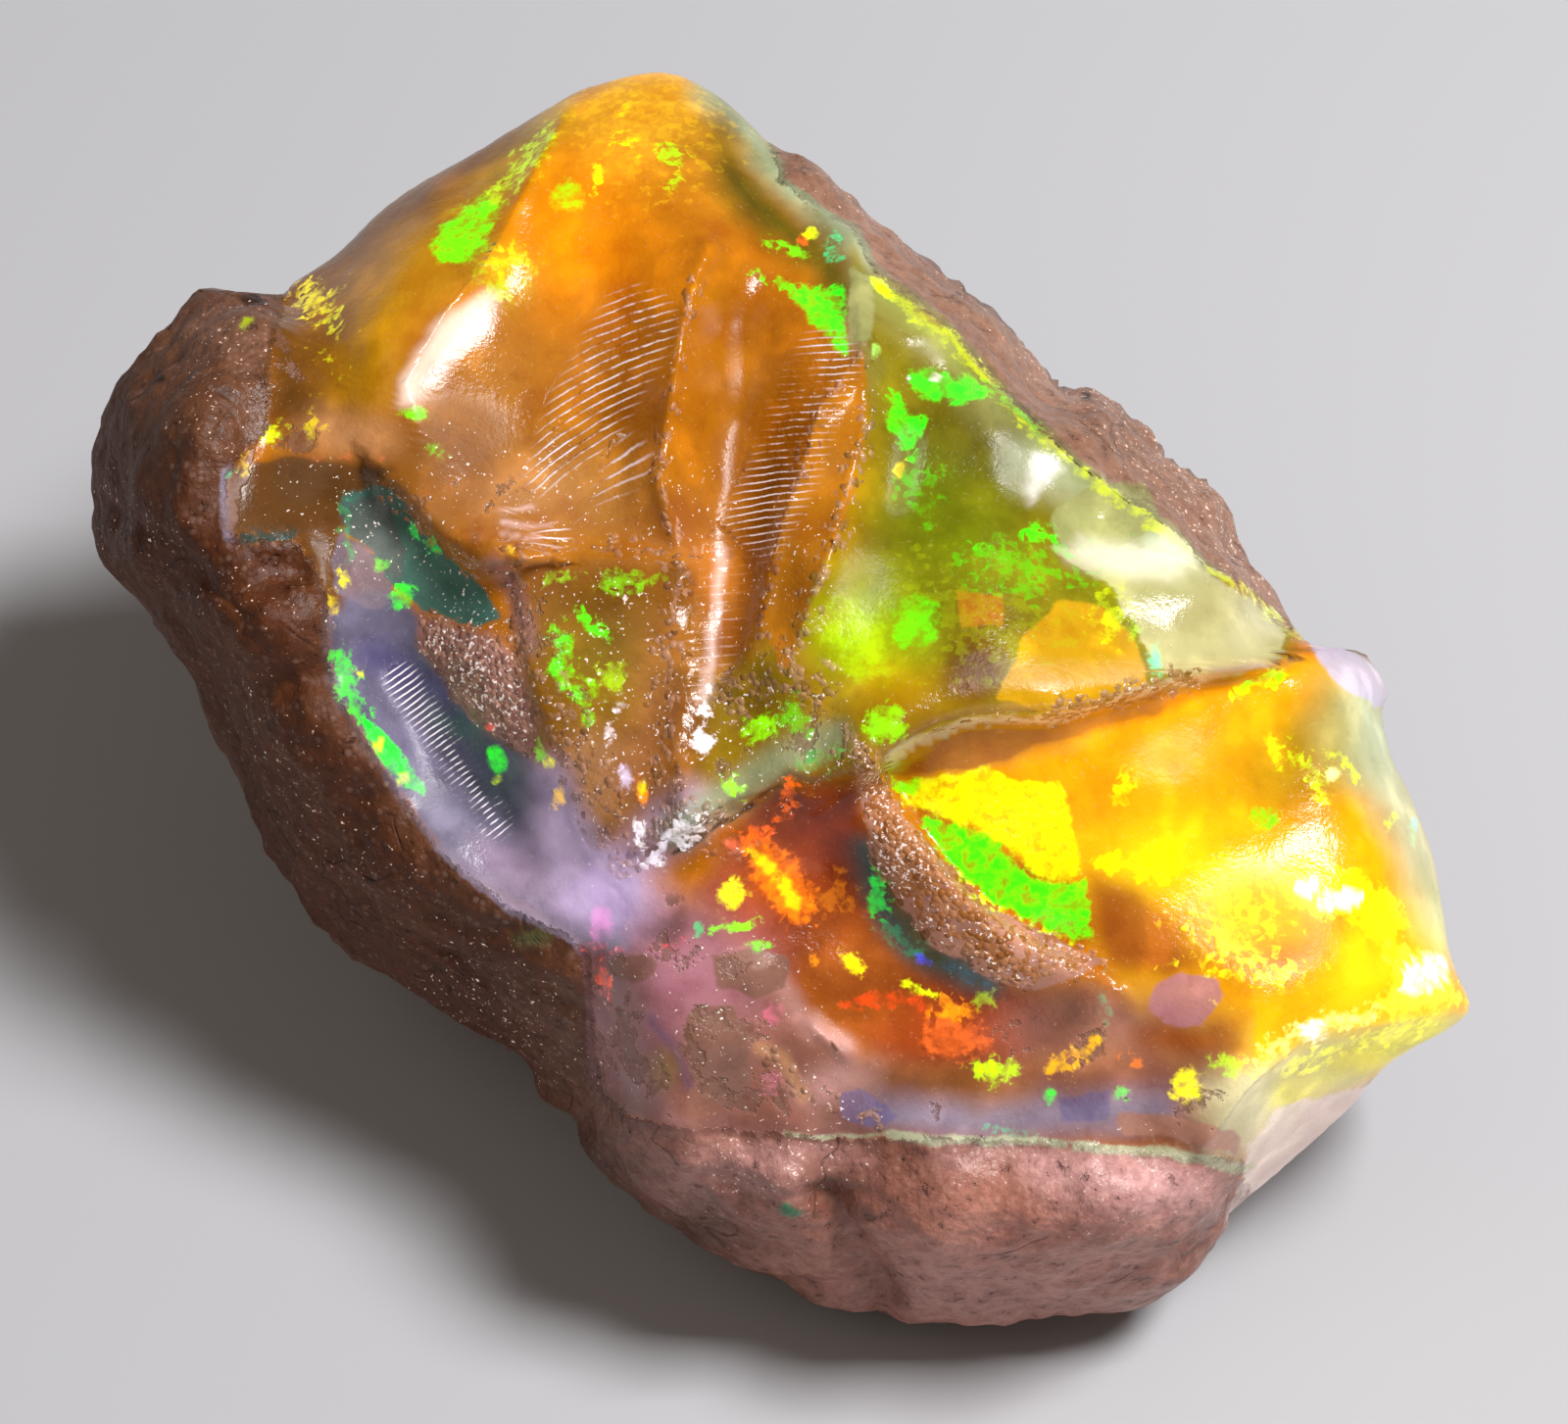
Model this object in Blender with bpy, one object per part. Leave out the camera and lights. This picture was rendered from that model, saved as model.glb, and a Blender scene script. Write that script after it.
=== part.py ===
"""Rough fire opal: one natural nodule with a brown rind and a broken, glassy face.

The face is laid out flat on a drawing sheet, 21 squares to the millimetre, and
leans back from the ground by FACE_TILT. Heights above the sheet are in
millimetres. The finished mesh is in metres, +Z up, with its origin on the
ground under the middle of the stone.
"""
import math

import bmesh
import bpy
import numpy as np
from mathutils import Vector


# Driving dimensions
SQUARES_PER_MM = 21.0
SHEET_MIDDLE = (800.0, 720.0)
FACE_TILT = math.radians(55.0)
EYE_DISTANCE = 286.0
GROUND = -27.0
ORIGIN = (-0.9, 5.5)
BACK_DEPTH = -29.0
BACK_SLOPE = 0.20
EDGE_DROP = 2.6
EDGE_TURN = -0.6
MESH_ROWS = 28
ROW_GAP = 0.95
CREST_ROUND = 0.30
LEDGE_WIDTH = 0.45

# Colour of the whole stone, its roughness and its metallic value
AMBER = (0.55, 0.30, 0.06, 1.0)
ROUGHNESS = 0.25
METALLIC = 0.0


# The outline of the nodule, clockwise from its apex, in sheet squares
OUTLINE = (
    (675, 73), (725, 92), (764, 124), (787, 147), (824, 166), (865, 189), (893, 221),
    (922, 244), (961, 276), (1008, 307), (1040, 339), (1061, 371), (1085, 396),
    (1109, 398), (1139, 412), (1168, 433), (1192, 463), (1240, 503), (1270, 560),
    (1310, 620), (1334, 655), (1373, 662), (1404, 682), (1417, 710), (1411, 727),
    (1421, 775), (1441, 814), (1463, 873), (1471, 918), (1477, 963), (1488, 996),
    (1500, 1022), (1497, 1036), (1474, 1052), (1424, 1080), (1397, 1106), (1382, 1126),
    (1341, 1164), (1294, 1205), (1280, 1217), (1256, 1235), (1250, 1258), (1224, 1287),
    (1206, 1311), (1165, 1331), (1118, 1343), (1048, 1349), (960, 1350), (925, 1349),
    (869, 1338), (807, 1318), (728, 1279), (672, 1243), (616, 1198), (594, 1164),
    (591, 1142), (560, 1122), (540, 1090), (490, 1055), (430, 1020), (340, 960),
    (280, 880), (235, 780), (190, 690), (147, 628), (108, 584), (93, 541), (91, 495),
    (93, 452), (116, 403), (144, 362), (182, 316), (203, 288), (262, 300), (292, 301),
    (300, 289), (344, 259), (385, 218), (423, 189), (476, 160), (543, 119), (599, 89),
)
OUTLINE_MIDDLE = (790.0, 740.0)

# Heights of the face at the places that set its form: x, y, height
HEIGHTS = (
    # apex and the upper left edge
    (675, 80, -8.0), (600, 92, -8.0), (543, 119, -8.5), (476, 160, -9.0), (423, 189, -9.5),
    (344, 259, -9.0), (292, 301, -8.0), (760, 130, -7.0), (640, 150, -4.5),
    (700, 170, -3.5), (780, 190, -4.0), (840, 250, -2.0), (870, 232, -3.0),
    (560, 150, -5.0), (493, 271, -1.5), (440, 235, -4.2), (487, 300, -1.15),
    (462, 305, -0.7), (472, 335, -0.45), (440, 330, -0.05), (452, 362, 0.2), (430, 385, 0.85),
    (412, 365, 0.8), (420, 410, 1.3), (400, 395, 1.2), (411, 318, 0.0), (385, 350, 0.5),
    (372, 405, 0.9), (372, 320, -1.8), (330, 330, -4.2), (345, 400, -1.2),
    # left bowl
    (560, 250, -2.4), (608, 236, -2.4), (510, 340, -0.85), (540, 330, -1.0),
    (530, 400, 0.2), (590, 400, 0.2), (480, 410, 0.72), (640, 330, 0.2), (640, 460, 1.9),
    (560, 490, 1.6), (440, 480, 1.25), (480, 500, 1.3), (513, 522, 2.3),
    # ridge between the bowls
    (722, 255, 0.5), (702, 320, 2.2), (687, 400, 3.4), (675, 490, 4.2), (698, 572, 4.4),
    (698, 640, 5.5),
    # right trough
    (745, 330, 0.2), (755, 430, 1.3), (752, 500, 2.3), (748, 560, 3.3), (731, 560, 3.4),
    (748, 620, 4.3), (731, 620, 4.4), (745, 680, 5.3), (729, 680, 5.4), (720, 740, 6.2),
    (812, 330, 1.6), (810, 420, 3.4), (790, 530, 4.8), (778, 620, 5.6), (770, 660, 6.4),
    # blade
    (881, 363, 3.5), (850, 450, 5.2), (815, 560, 7.0), (790, 680, 7.8),
    # right face
    (900, 300, 0.4), (925, 385, 1.9), (915, 520, 5.0), (895, 650, 8.1), (905, 770, 9.4),
    (1000, 400, 2.2), (1000, 470, 4.0), (1010, 540, 5.8), (1064, 490, 3.5),
    (1020, 620, 7.7), (980, 720, 8.9),
    (1074, 725, 8.0), (1124, 620, 5.6), (1171, 707, 6.4), (1123, 529, 2.9),
    (1230, 640, 4.0), (1289, 680, 3.6), (1317, 665, 2.8), (888, 271, -0.8),
    (961, 331, 0.6), (1042, 420, 2.1), (1109, 479, 2.9), (1200, 548, 2.7),
    (1264, 593, 2.4), (1321, 643, 2.0), (1380, 690, 0.8), (1410, 712, -1.5),
    # bench
    (910, 800, 6.6), (1000, 790, 6.4), (1080, 770, 5.9), (1181, 740, 5.1),
    (1290, 715, 3.5), (1000, 850, 6.2), (1100, 850, 5.4), (1200, 800, 4.8),
    (1330, 760, 2.2), (1400, 760, 0.8), (1421, 775, -0.5), (1200, 900, 4.5),
    (1320, 865, 2.9), (1330, 915, 3.85), (1365, 920, 3.5), (1420, 880, 1.6),
    (1465, 900, -0.8), (1480, 1000, 0.7), (1457, 990, 1.6), (1400, 980, 3.4),
    (1300, 980, 4.9), (1200, 990, 5.2), (1495, 1026, -1.0),
    # crest and the facets below it
    (1420, 1045, 2.2), (1340, 1060, 4.2), (1280, 1105, 4.8), (1230, 1170, 4.0),
    (1397, 1090, 0.0), (1382, 1126, -4.0), (1300, 1140, 1.5), (1294, 1205, -4.5),
    (1260, 1190, 1.0),
    # middle and lower middle
    (711, 846, 7.2), (801, 793, 8.2), (874, 793, 8.8), (760, 740, 6.4), (850, 740, 8.6),
    (800, 850, 5.8), (760, 900, 5.4), (850, 880, 4.6), (900, 940, 4.2), (850, 980, 4.4),
    (980, 1040, 4.2), (1080, 1040, 4.4), (1100, 1000, 5.4), (880, 800, 8.2),
    (905, 860, 6.6), (950, 930, 6.0), (1030, 970, 5.8), (960, 840, 6.6),
    (1010, 930, 6.2), (1090, 960, 5.2), (700, 930, 5.2), (660, 1010, 4.6),
    (760, 1020, 4.8), (740, 1100, 4.0), (660, 1100, 3.2), (850, 1100, 4.4),
    (1000, 1110, 4.4), (1130, 1110, 4.6), (1200, 1070, 4.6), (740, 1153, 2.3),
    (869, 1164, 2.8), (1033, 1164, 3.0), (1151, 1176, 2.9), (1224, 1179, 2.8),
    (600, 640, 4.6), (560, 700, 4.4), (640, 760, 5.4), (600, 820, 4.6), (670, 830, 6.0),
    (640, 680, 5.2), (500, 560, 3.2), (540, 620, 3.8),
    # left pockets
    (430, 552, 0.5), (390, 540, -0.5), (460, 600, 0.8), (350, 500, 1.0), (360, 590, 0.4),
    (480, 680, 2.2), (520, 740, 3.0), (380, 680, -0.8), (420, 740, -1.2),
    (470, 800, -0.8), (540, 850, 0.6), (600, 900, 3.0), (560, 930, 2.0), (420, 800, -0.2),
    # left rim
    (334, 640, 1.6), (345, 710, 1.2), (390, 783, 1.0), (455, 873, 1.0), (520, 925, 1.2),
    (585, 958, 2.0), (297, 546, 1.0), (240, 520, 0.6), (250, 464, -0.2), (275, 441, -0.8),
    (320, 440, 0.0), (358, 460, 0.9), (285, 350, -3.0),
    # left rind and its knob
    (200, 420, 0.6), (200, 500, 0.8), (150, 450, -1.8), (150, 560, -2.4),
    (103, 480, -9.0), (203, 295, -9.0), (240, 370, -1.6), (250, 320, -4.6),
    (135, 390, -6.5), (200, 640, -1.8), (150, 628, -8.5), (260, 700, -0.4),
    (190, 690, -8.5),
    (300, 800, -1.6), (235, 780, -9.0), (280, 880, -9.0), (370, 880, -1.8),
    (340, 960, -9.0), (460, 960, -1.8), (430, 1020, -9.0), (540, 1020, -1.6),
    (540, 1090, -8.0), (560, 1122, -7.5), (608, 1060, 0.2), (596, 1130, -5.0),
    # lower rind
    (640, 1160, 0.6), (616, 1198, -4.5), (672, 1243, -5.0), (700, 1180, 2.4),
    (728, 1279, -5.2), (800, 1200, 3.4), (800, 1230, 3.0), (849, 1240, 1.6),
    (870, 1335, -5.2), (960, 1220, 3.4), (960, 1260, 2.4), (1060, 1220, 3.8),
    (1060, 1270, 2.4), (960, 1349, -5.2), (1100, 1345, -5.2), (1136, 1205, 4.0),
    (1140, 1230, 4.2), (1150, 1265, 2.8), (1206, 1311, -5.0), (1230, 1215, 2.6),
    (1256, 1235, -2.0),
    # upper right rind
    (830, 180, -4.5), (865, 189, -8.0), (893, 221, -8.0), (961, 276, -7.5),
    (940, 290, -2.2), (1040, 339, -7.0), (1085, 396, -6.0), (1120, 430, -1.0),
    (1168, 433, -6.0), (1240, 503, -5.5), (1180, 500, 0.4), (1270, 560, -4.0),
    (1310, 620, -3.0),
)

# Sharp crests where two broken surfaces meet: line, height in mm, reach in mm
CRESTS = (
    (((725, 250), (710, 283), (696, 338), (687, 397), (678, 450), (672, 485), (678, 512),
      (698, 572)), 1.2, 2.2),
    (((576, 113), (556, 150), (530, 205), (493, 271)), 1.0, 1.6),
    (((493, 271), (450, 320), (412, 390), (430, 450)), 0.4, 1.5),
    (((881, 363), (838, 416), (798, 535), (775, 635), (752, 700)), 0.6, 1.2),
    (((874, 250), (881, 363), (884, 426), (854, 542), (821, 638)), 0.6, 1.2),
    (((892, 283), (961, 331), (1042, 420), (1109, 479), (1200, 548), (1264, 593),
      (1321, 643)), 0.5, 1.2),
    (((1497, 1030), (1420, 1045), (1340, 1055), (1280, 1105), (1230, 1170)), 0.8, 1.6),
    (((700, 690), (690, 760), (700, 830)), 0.5, 1.5),
    (((829, 1049), (863, 1077)), 0.4, 0.8),
)

# Ledges, high on the left of their line's direction: line, drop in mm, reach in mm
LEDGES = (
    (((903, 782), (956, 746), (992, 736), (1074, 732), (1124, 721), (1171, 707),
      (1210, 693), (1289, 686), (1317, 671)), 1.8, 2.6),
    (((700, 850), (711, 846), (744, 821), (773, 815), (801, 793), (829, 807),
      (874, 793)), 1.2, 2.2),
    (((400, 499), (446, 552), (489, 582), (526, 578)), 1.6, 2.0),
    (((698, 568), (640, 560), (570, 560), (516, 552)), 0.8, 2.0),
    (((1098, 985), (1040, 955), (978, 903), (936, 850), (905, 790)), 1.2, 2.0),
    (((526, 590), (536, 682), (550, 733), (560, 800), (600, 860)), 0.6, 2.0),
)

# Grooves in the rind: line, depth in mm, half width in mm
GROOVES = (
    (((849, 1215), (863, 1271), (897, 1320)), 0.7, 1.3),
    (((602, 976), (611, 1060), (591, 1142)), 1.0, 0.9),
    (((230, 296), (262, 306), (292, 312)), 0.9, 0.7),
    (((150, 610), (200, 590), (250, 600), (300, 580)), 0.7, 0.8),
    (((215, 745), (262, 700), (330, 690)), 0.7, 0.8),
    (((330, 950), (330, 880), (360, 820)), 0.5, 0.8),
    (((440, 1010), (470, 950), (520, 950)), 0.5, 0.8),
)

# Round lumps and pits: x, y, radius in mm, height in mm
LUMPS = (
    (190, 380, 2.0, 0.4), (170, 500, 3.5, 0.5), (240, 640, 2.6, 0.6), (285, 760, 3.0, 0.7),
    (380, 930, 3.0, 0.6), (500, 1010, 2.5, 0.5), (700, 1215, 3.5, 0.8), (950, 1260, 4.0, 0.7),
    (1140, 1220, 3.5, 0.8), (1110, 425, 2.0, 0.6), (1010, 340, 2.5, 0.5),
    (438, 195, 1.2, 0.7), (1123, 529, 2.4, -0.8), (1142, 604, 1.6, 0.4),
    (1230, 625, 1.8, 0.5), (770, 993, 1.0, 0.3), (728, 1069, 1.5, 0.3),
)


def face_points(places):
    """Turn sheet squares into millimetres across and up the face."""
    places = np.asarray(places, dtype=float)
    across = (places[:, 0] - SHEET_MIDDLE[0]) / SQUARES_PER_MM
    up = (SHEET_MIDDLE[1] - places[:, 1]) / SQUARES_PER_MM
    return np.stack([across, up], axis=1)


def smooth_loop(points, steps):
    """Draw a Catmull-Rom curve through a closed loop of points."""
    before = np.roll(points, 1, axis=0)
    after = np.roll(points, -1, axis=0)
    beyond = np.roll(points, -2, axis=0)
    rows = []
    for step in range(steps):
        t = step / steps
        rows.append(
            0.5 * (
                2.0 * points
                + (after - before) * t
                + (2.0 * before - 5.0 * points + 4.0 * after - beyond) * t ** 2
                + (3.0 * points - before - 3.0 * after + beyond) * t ** 3
            )
        )
    return np.stack(rows, axis=1).reshape(-1, 2)


def outline_radius(angle):
    """Distance from the middle of the outline to its edge, at each angle."""
    middle = face_points([OUTLINE_MIDDLE])[0]
    loop = smooth_loop(face_points(OUTLINE), 6) - middle
    loop_angle = np.arctan2(loop[:, 1], loop[:, 0])
    loop_radius = np.hypot(loop[:, 0], loop[:, 1])
    return np.interp(angle, loop_angle, loop_radius, period=2.0 * math.pi)


def thin_plate(points, heights, across, up):
    """Bend a thin plate through the given heights and read it everywhere."""
    def bend(distance_squared):
        return 0.5 * distance_squared * np.log(distance_squared + 1e-9)

    count = len(points)
    gap = points[:, None, :] - points[None, :, :]
    system = np.zeros((count + 3, count + 3))
    system[:count, :count] = bend((gap ** 2).sum(axis=2)) + np.eye(count) * 0.5
    system[:count, count] = 1.0
    system[:count, count + 1:] = points
    system[count:, :count] = system[:count, count:].T
    weights = np.linalg.solve(system, np.concatenate([heights, np.zeros(3)]))
    result = weights[count] + weights[count + 1] * across + weights[count + 2] * up
    for point, weight in zip(points, weights[:count]):
        distance_squared = (across - point[0]) ** 2 + (up - point[1]) ** 2
        result = result + weight * bend(distance_squared)
    return result


def line_distance(line, across, up):
    """Distance to a drawn line, and the side: +1 on its left, -1 on its right."""
    points = face_points(line)
    nearest = np.full(across.shape, 1e9)
    side = np.ones(across.shape)
    for start, end in zip(points[:-1], points[1:]):
        run = end - start
        t = ((across - start[0]) * run[0] + (up - start[1]) * run[1]) / (run @ run)
        t = np.clip(t, 0.0, 1.0)
        gap_across = across - start[0] - t * run[0]
        gap_up = up - start[1] - t * run[1]
        gap = np.hypot(gap_across, gap_up)
        turn = run[0] * gap_up - run[1] * gap_across
        closer = gap < nearest
        nearest = np.where(closer, gap, nearest)
        side = np.where(closer, np.where(turn >= 0.0, 1.0, -1.0), side)
    return nearest, side


def snap_to_lines(across, up, front):
    """Slide the points that lie nearest a crest or a ledge onto its line."""
    limit = 0.5 * ROW_GAP
    for line, _, _ in CRESTS + LEDGES:
        points = face_points(line)
        nearest = np.full(across.shape, limit)
        new_across = across.copy()
        new_up = up.copy()
        for start, end in zip(points[:-1], points[1:]):
            run = end - start
            t = ((across - start[0]) * run[0] + (up - start[1]) * run[1]) / (run @ run)
            t = np.clip(t, 0.0, 1.0)
            on_across = start[0] + t * run[0]
            on_up = start[1] + t * run[1]
            gap = np.hypot(across - on_across, up - on_up)
            closer = (gap < nearest) & front
            nearest = np.where(closer, gap, nearest)
            new_across = np.where(closer, on_across, new_across)
            new_up = np.where(closer, on_up, new_up)
        across, up = new_across, new_up
    return across, up


def face_height(across, up):
    """Height of the front of the stone above the sheet."""
    table = np.asarray(HEIGHTS, dtype=float)
    height = thin_plate(face_points(table[:, :2]), table[:, 2], across, up)
    for line, rise, reach in CRESTS:
        distance, _ = line_distance(line, across, up)
        distance = np.hypot(distance, CREST_ROUND) - CREST_ROUND
        height = height + rise * np.exp(-distance / (0.45 * reach))
    for line, drop, reach in LEDGES:
        distance, side = line_distance(line, across, up)
        step = np.tanh(distance * side / LEDGE_WIDTH)
        height = height + 0.5 * drop * step * np.exp(-((distance / reach) ** 2))
    for line, depth, half_width in GROOVES:
        distance, _ = line_distance(line, across, up)
        height = height - depth * np.exp(-((distance / half_width) ** 2))
    for x, y, radius, rise in LUMPS:
        place = face_points([(x, y)])[0]
        distance = np.hypot(across - place[0], up - place[1])
        height = height + rise * np.exp(-((distance / radius) ** 2))
    return height


def stone_points(directions):
    """Place points of a unit ball on the surface of the stone, in millimetres."""
    middle = face_points([OUTLINE_MIDDLE])[0]
    lift = np.clip(directions[:, 2], -1.0, 1.0)
    angle = np.arctan2(directions[:, 1], directions[:, 0])
    front = lift >= EDGE_TURN
    share = np.where(
        front,
        np.sqrt((1.0 - lift) / (1.0 - EDGE_TURN)),
        np.sqrt(np.clip((1.0 + lift) / (1.0 + EDGE_TURN), 0.0, 1.0)),
    )
    share = np.clip(share, 0.0, 1.0)
    reach = np.where(front, 0.5 * share + 0.5 * np.sin(0.5 * math.pi * share), share)
    radius = outline_radius(angle)
    across = middle[0] + reach * radius * np.cos(angle)
    up = middle[1] + reach * radius * np.sin(angle)
    across, up = snap_to_lines(across, up, front & (reach < 0.97))
    edge_across = middle[0] + radius * np.cos(angle)
    edge_up = middle[1] + radius * np.sin(angle)

    edge_height = face_height(edge_across, edge_up) - EDGE_DROP
    rounding = 1.0 - np.sqrt(np.clip(1.0 - reach ** 12, 0.0, 1.0))
    front_height = face_height(across, up) - EDGE_DROP * rounding

    bulge = np.sqrt(np.clip(1.0 - reach ** 2.4, 0.0, 1.0))
    floor = (GROUND - 0.6 - up * math.cos(FACE_TILT)) / math.sin(FACE_TILT)
    back_floor = np.maximum(floor, BACK_DEPTH + BACK_SLOPE * up)
    lumps = (
        1.1 * np.sin(0.21 * across + 1.0) * np.cos(0.24 * up + 0.4)
        + 0.5 * np.sin(0.43 * up + 0.2 * across) * np.cos(0.37 * across - 0.1 * up)
        + 0.25 * np.sin(0.8 * up - 0.5 * across + 2.0)
    )
    back_height = edge_height + (back_floor + lumps - edge_height) * bulge
    height = np.where(front, front_height, back_height)

    # seen from EYE_DISTANCE in front, each feature keeps its place on the sheet
    spread = 1.0 - height / EYE_DISTANCE
    across = across * spread
    up = up * spread
    x = across
    y = up * math.sin(FACE_TILT) - height * math.cos(FACE_TILT)
    z = up * math.cos(FACE_TILT) + height * math.sin(FACE_TILT)
    z = np.maximum(z, GROUND)
    return np.stack([x - ORIGIN[0], y - ORIGIN[1], z - GROUND], axis=1)


def make_material():
    """Amber opal for the whole stone."""
    material = bpy.data.materials.new("amber_opal")
    material.use_nodes = True
    shader = material.node_tree.nodes["Principled BSDF"]
    shader.inputs["Base Color"].default_value = AMBER
    shader.inputs["Roughness"].default_value = ROUGHNESS
    shader.inputs["Metallic"].default_value = METALLIC
    return material


def ball_directions(points):
    """Spread a cube's rows evenly over a ball by angle."""
    directions = np.tan(np.asarray(points) * math.pi / 4.0)
    return directions / np.linalg.norm(directions, axis=1)[:, None]


def split_quads(stone, middles):
    """Halve each quad along the diagonal that lies nearer to the true surface."""
    for face, middle in zip(stone.faces[:], middles):
        first, second, third, fourth = face.verts
        along = ((first.co + third.co) * 0.5 - Vector(middle)).length
        across = ((second.co + fourth.co) * 0.5 - Vector(middle)).length
        if along <= across:
            bmesh.utils.face_split(face, first, third)
        else:
            bmesh.utils.face_split(face, second, fourth)


def make_stone():
    """Shape a finely divided cube into the nodule."""
    stone = bmesh.new()
    bmesh.ops.create_cube(stone, size=2.0)
    bmesh.ops.subdivide_edges(
        stone,
        edges=stone.edges[:],
        cuts=MESH_ROWS - 1,
        use_grid_fill=True,
    )
    corners = ball_directions([vertex.co[:] for vertex in stone.verts])
    middles = ball_directions([face.calc_center_median()[:] for face in stone.faces])
    places = stone_points(corners) * 0.001
    for vertex, place in zip(stone.verts, places):
        vertex.co = place
    split_quads(stone, stone_points(middles) * 0.001)
    bmesh.ops.recalc_face_normals(stone, faces=stone.faces[:])
    mesh = bpy.data.meshes.new("rough_fire_opal")
    stone.to_mesh(mesh)
    stone.free()
    mesh.shade_smooth()
    mesh.materials.append(make_material())
    nodule = bpy.data.objects.new("rough_fire_opal", mesh)
    bpy.context.scene.collection.objects.link(nodule)
    return nodule


for leftover in list(bpy.data.objects):
    bpy.data.objects.remove(leftover, do_unlink=True)
make_stone()
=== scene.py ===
"""Dress a rough fire opal: relief, rind, glass, fire, floor, lights and camera.

The broken face is laid out on the same drawing sheet as the solid: 21 squares
to the millimetre, leaning back from the ground. Heights are in millimetres
above the sheet. Places, widths and softness are in squares unless it says mm.
"""
import math

import bmesh
import bpy
import numpy as np
from mathutils import Euler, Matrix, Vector, noise


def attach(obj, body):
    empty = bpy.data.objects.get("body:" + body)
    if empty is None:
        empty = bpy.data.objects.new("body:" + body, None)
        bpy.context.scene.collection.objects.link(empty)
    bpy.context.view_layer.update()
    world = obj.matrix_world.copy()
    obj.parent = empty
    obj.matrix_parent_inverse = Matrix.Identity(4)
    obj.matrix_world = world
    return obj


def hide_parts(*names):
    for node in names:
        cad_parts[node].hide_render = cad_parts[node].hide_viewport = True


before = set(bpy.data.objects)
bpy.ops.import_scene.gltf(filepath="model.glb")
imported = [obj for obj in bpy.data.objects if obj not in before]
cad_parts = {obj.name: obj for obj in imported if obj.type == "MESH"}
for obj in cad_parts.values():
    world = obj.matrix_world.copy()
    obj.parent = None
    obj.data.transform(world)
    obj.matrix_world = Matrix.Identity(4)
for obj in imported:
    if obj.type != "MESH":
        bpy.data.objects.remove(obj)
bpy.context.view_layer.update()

bl_info = {
    "name": "Rough Fire Opal",
    "version": (1, 0, 0),
    "blender": (4, 5, 0),
    "location": "3D View > Sidebar > Opal",
    "description": "Builds a rough fire opal nodule with its rind, fire and a plain stage",
    "category": "Object",
}

MM = 0.001

# The drawing sheet, and the eye in front of it that its shapes are drawn for, in mm
SQUARES_PER_MM = 21.0
SHEET_MIDDLE = (800.0, 720.0)
EYE_DISTANCE = 286.0

# Where the ground is below the middle of the sheet, and the stone's origin, in mm
GROUND = -27.0
ORIGIN = (-0.9, 5.5)

# The guessed back: its depth in mm, its slope, how deep it is pressed into the
# ground, and how square its bulge is
BACK_DEPTH = -29.0
BACK_SLOPE = 0.20
BACK_PRESS = 0.6
BACK_SQUARE = 2.4

# The edge of the face: how far it drops in mm, how square its turn is, how far down
# the ball the face reaches, and the number of steps round it that are worked out
EDGE_DROP = 2.6
EDGE_SQUARE = 12
EDGE_TURN = -0.6
EDGE_STEPS = 1440

# How far out on the face, from 0 to 1, points may slide onto a crest or a ledge
SNAP_LIMIT = 0.97
# Steps along each side of the outline, how far the plate that spans the heights may
# give, and how fast a crest falls away
OUTLINE_STEPS = 6
PLATE_GIVE = 0.5
CREST_FALL = 0.45

# Crisp patches: how soft an edge is, how many times wider it fades before the noise
# makes it ragged, and how far the colour runs on past it
PATCH_EDGE = 5.0
EDGE_FADE = 1.6
EDGE_ROOM = 12.0
# How far the colours of the glass run on under the rind, in mm
GLASS_ROOM = 0.3
# Softness of a strip of hackle lines, and how much two sets fade each other
HACKLE_EDGE = 14.0
HACKLE_CLASH = 1.3

# How soon the glass gives way to rind behind the stone's edge. Then, in mm, how far
# their join is blended to each side and how uneven the sides of drawn shapes are
GLASS_WRAP = 0.7
RIND_JOIN = 1.0
RAGGED = 0.22
# How much of that unevenness the hackle lines take on
HACKLE_RAGGED = 0.25
# Height above the ground over which lumps set in, and height of the glass's waves, in mm
FOOT = 1.5
GLASS_WAVES = 0.05
# How far the distance from the edge of the glass is kept for its material, in mm
GLASS_REACH = 3.0
# How strongly the sand gets painted glints, and the contrast of mottling and clouds
SAND_GLINTS = 1.3
MOTTLE_CONTRAST = 0.6
CLOUD_CONTRAST = 0.8

# Noise on the stone: size in mm, octaves, and its own seed
NOISES = {
    "rind_lumps": (3.6, 3, 1),
    "rind_grain": (1.5, 2, 2),
    "sand_grains": (0.5, 1, 3),
    "glass_waves": (4.0, 2, 4),
    "mottle": (2.4, 4, 5),
    "cloud": (6.0, 3, 6),
    "ragged_across": (1.6, 2, 7),
    "ragged_up": (1.6, 2, 8),
    "crease": (5.5, 3, 9),
}
NOISE_STEPS = (17.3, 5.1, 9.7)

# Grain in the material, sizes in mm
COARSE_GRAIN = 0.8
FINE_GRAIN = 0.22
CELL_GRAIN = 0.36

# Relief that is too fine for the mesh, heights in mm
FINE_RELIEF = {
    "glass_coarse": 0.045,
    "glass_fine": 0.020,
    "sand": 0.09,
    "matrix": 0.10,
    "rind_pit": -0.06,
    "rind_coarse": 0.17,
    "rind_grain": 0.05,
}

# The floor and the even light: half the floor's side in m, its roughness, the colour
FLOOR_HALF = 1.5
FLOOR_ROUGHNESS = 0.7
SKY_COLOUR = "#E8DCCE"

# The camera: the height on the sheet that it faces, its sensor in mm, near end in m
FRAME_MIDDLE = 726.5
SENSOR_WIDTH = 36.0
NEAR_CLIP = 0.01

# Soft lights: name, direction across, up and out of the face, distance and size in
# m, and colour
LIGHTS = (
    ("key", (0.46, 0.50, 0.73), 0.50, 0.14, "#FFFFFF"),
    ("fill", (-0.60, 0.35, 0.70), 0.55, 0.40, "#FAF0E6"),
    ("low", (0.30, -0.80, 0.55), 0.60, 0.40, "#FFEAE0"),
)


def blob(x, y, half_width, half_height, turn=0):
    """A round shape on the sheet, turned by some degrees."""
    return "blob", x, y, half_width, half_height, turn


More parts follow.
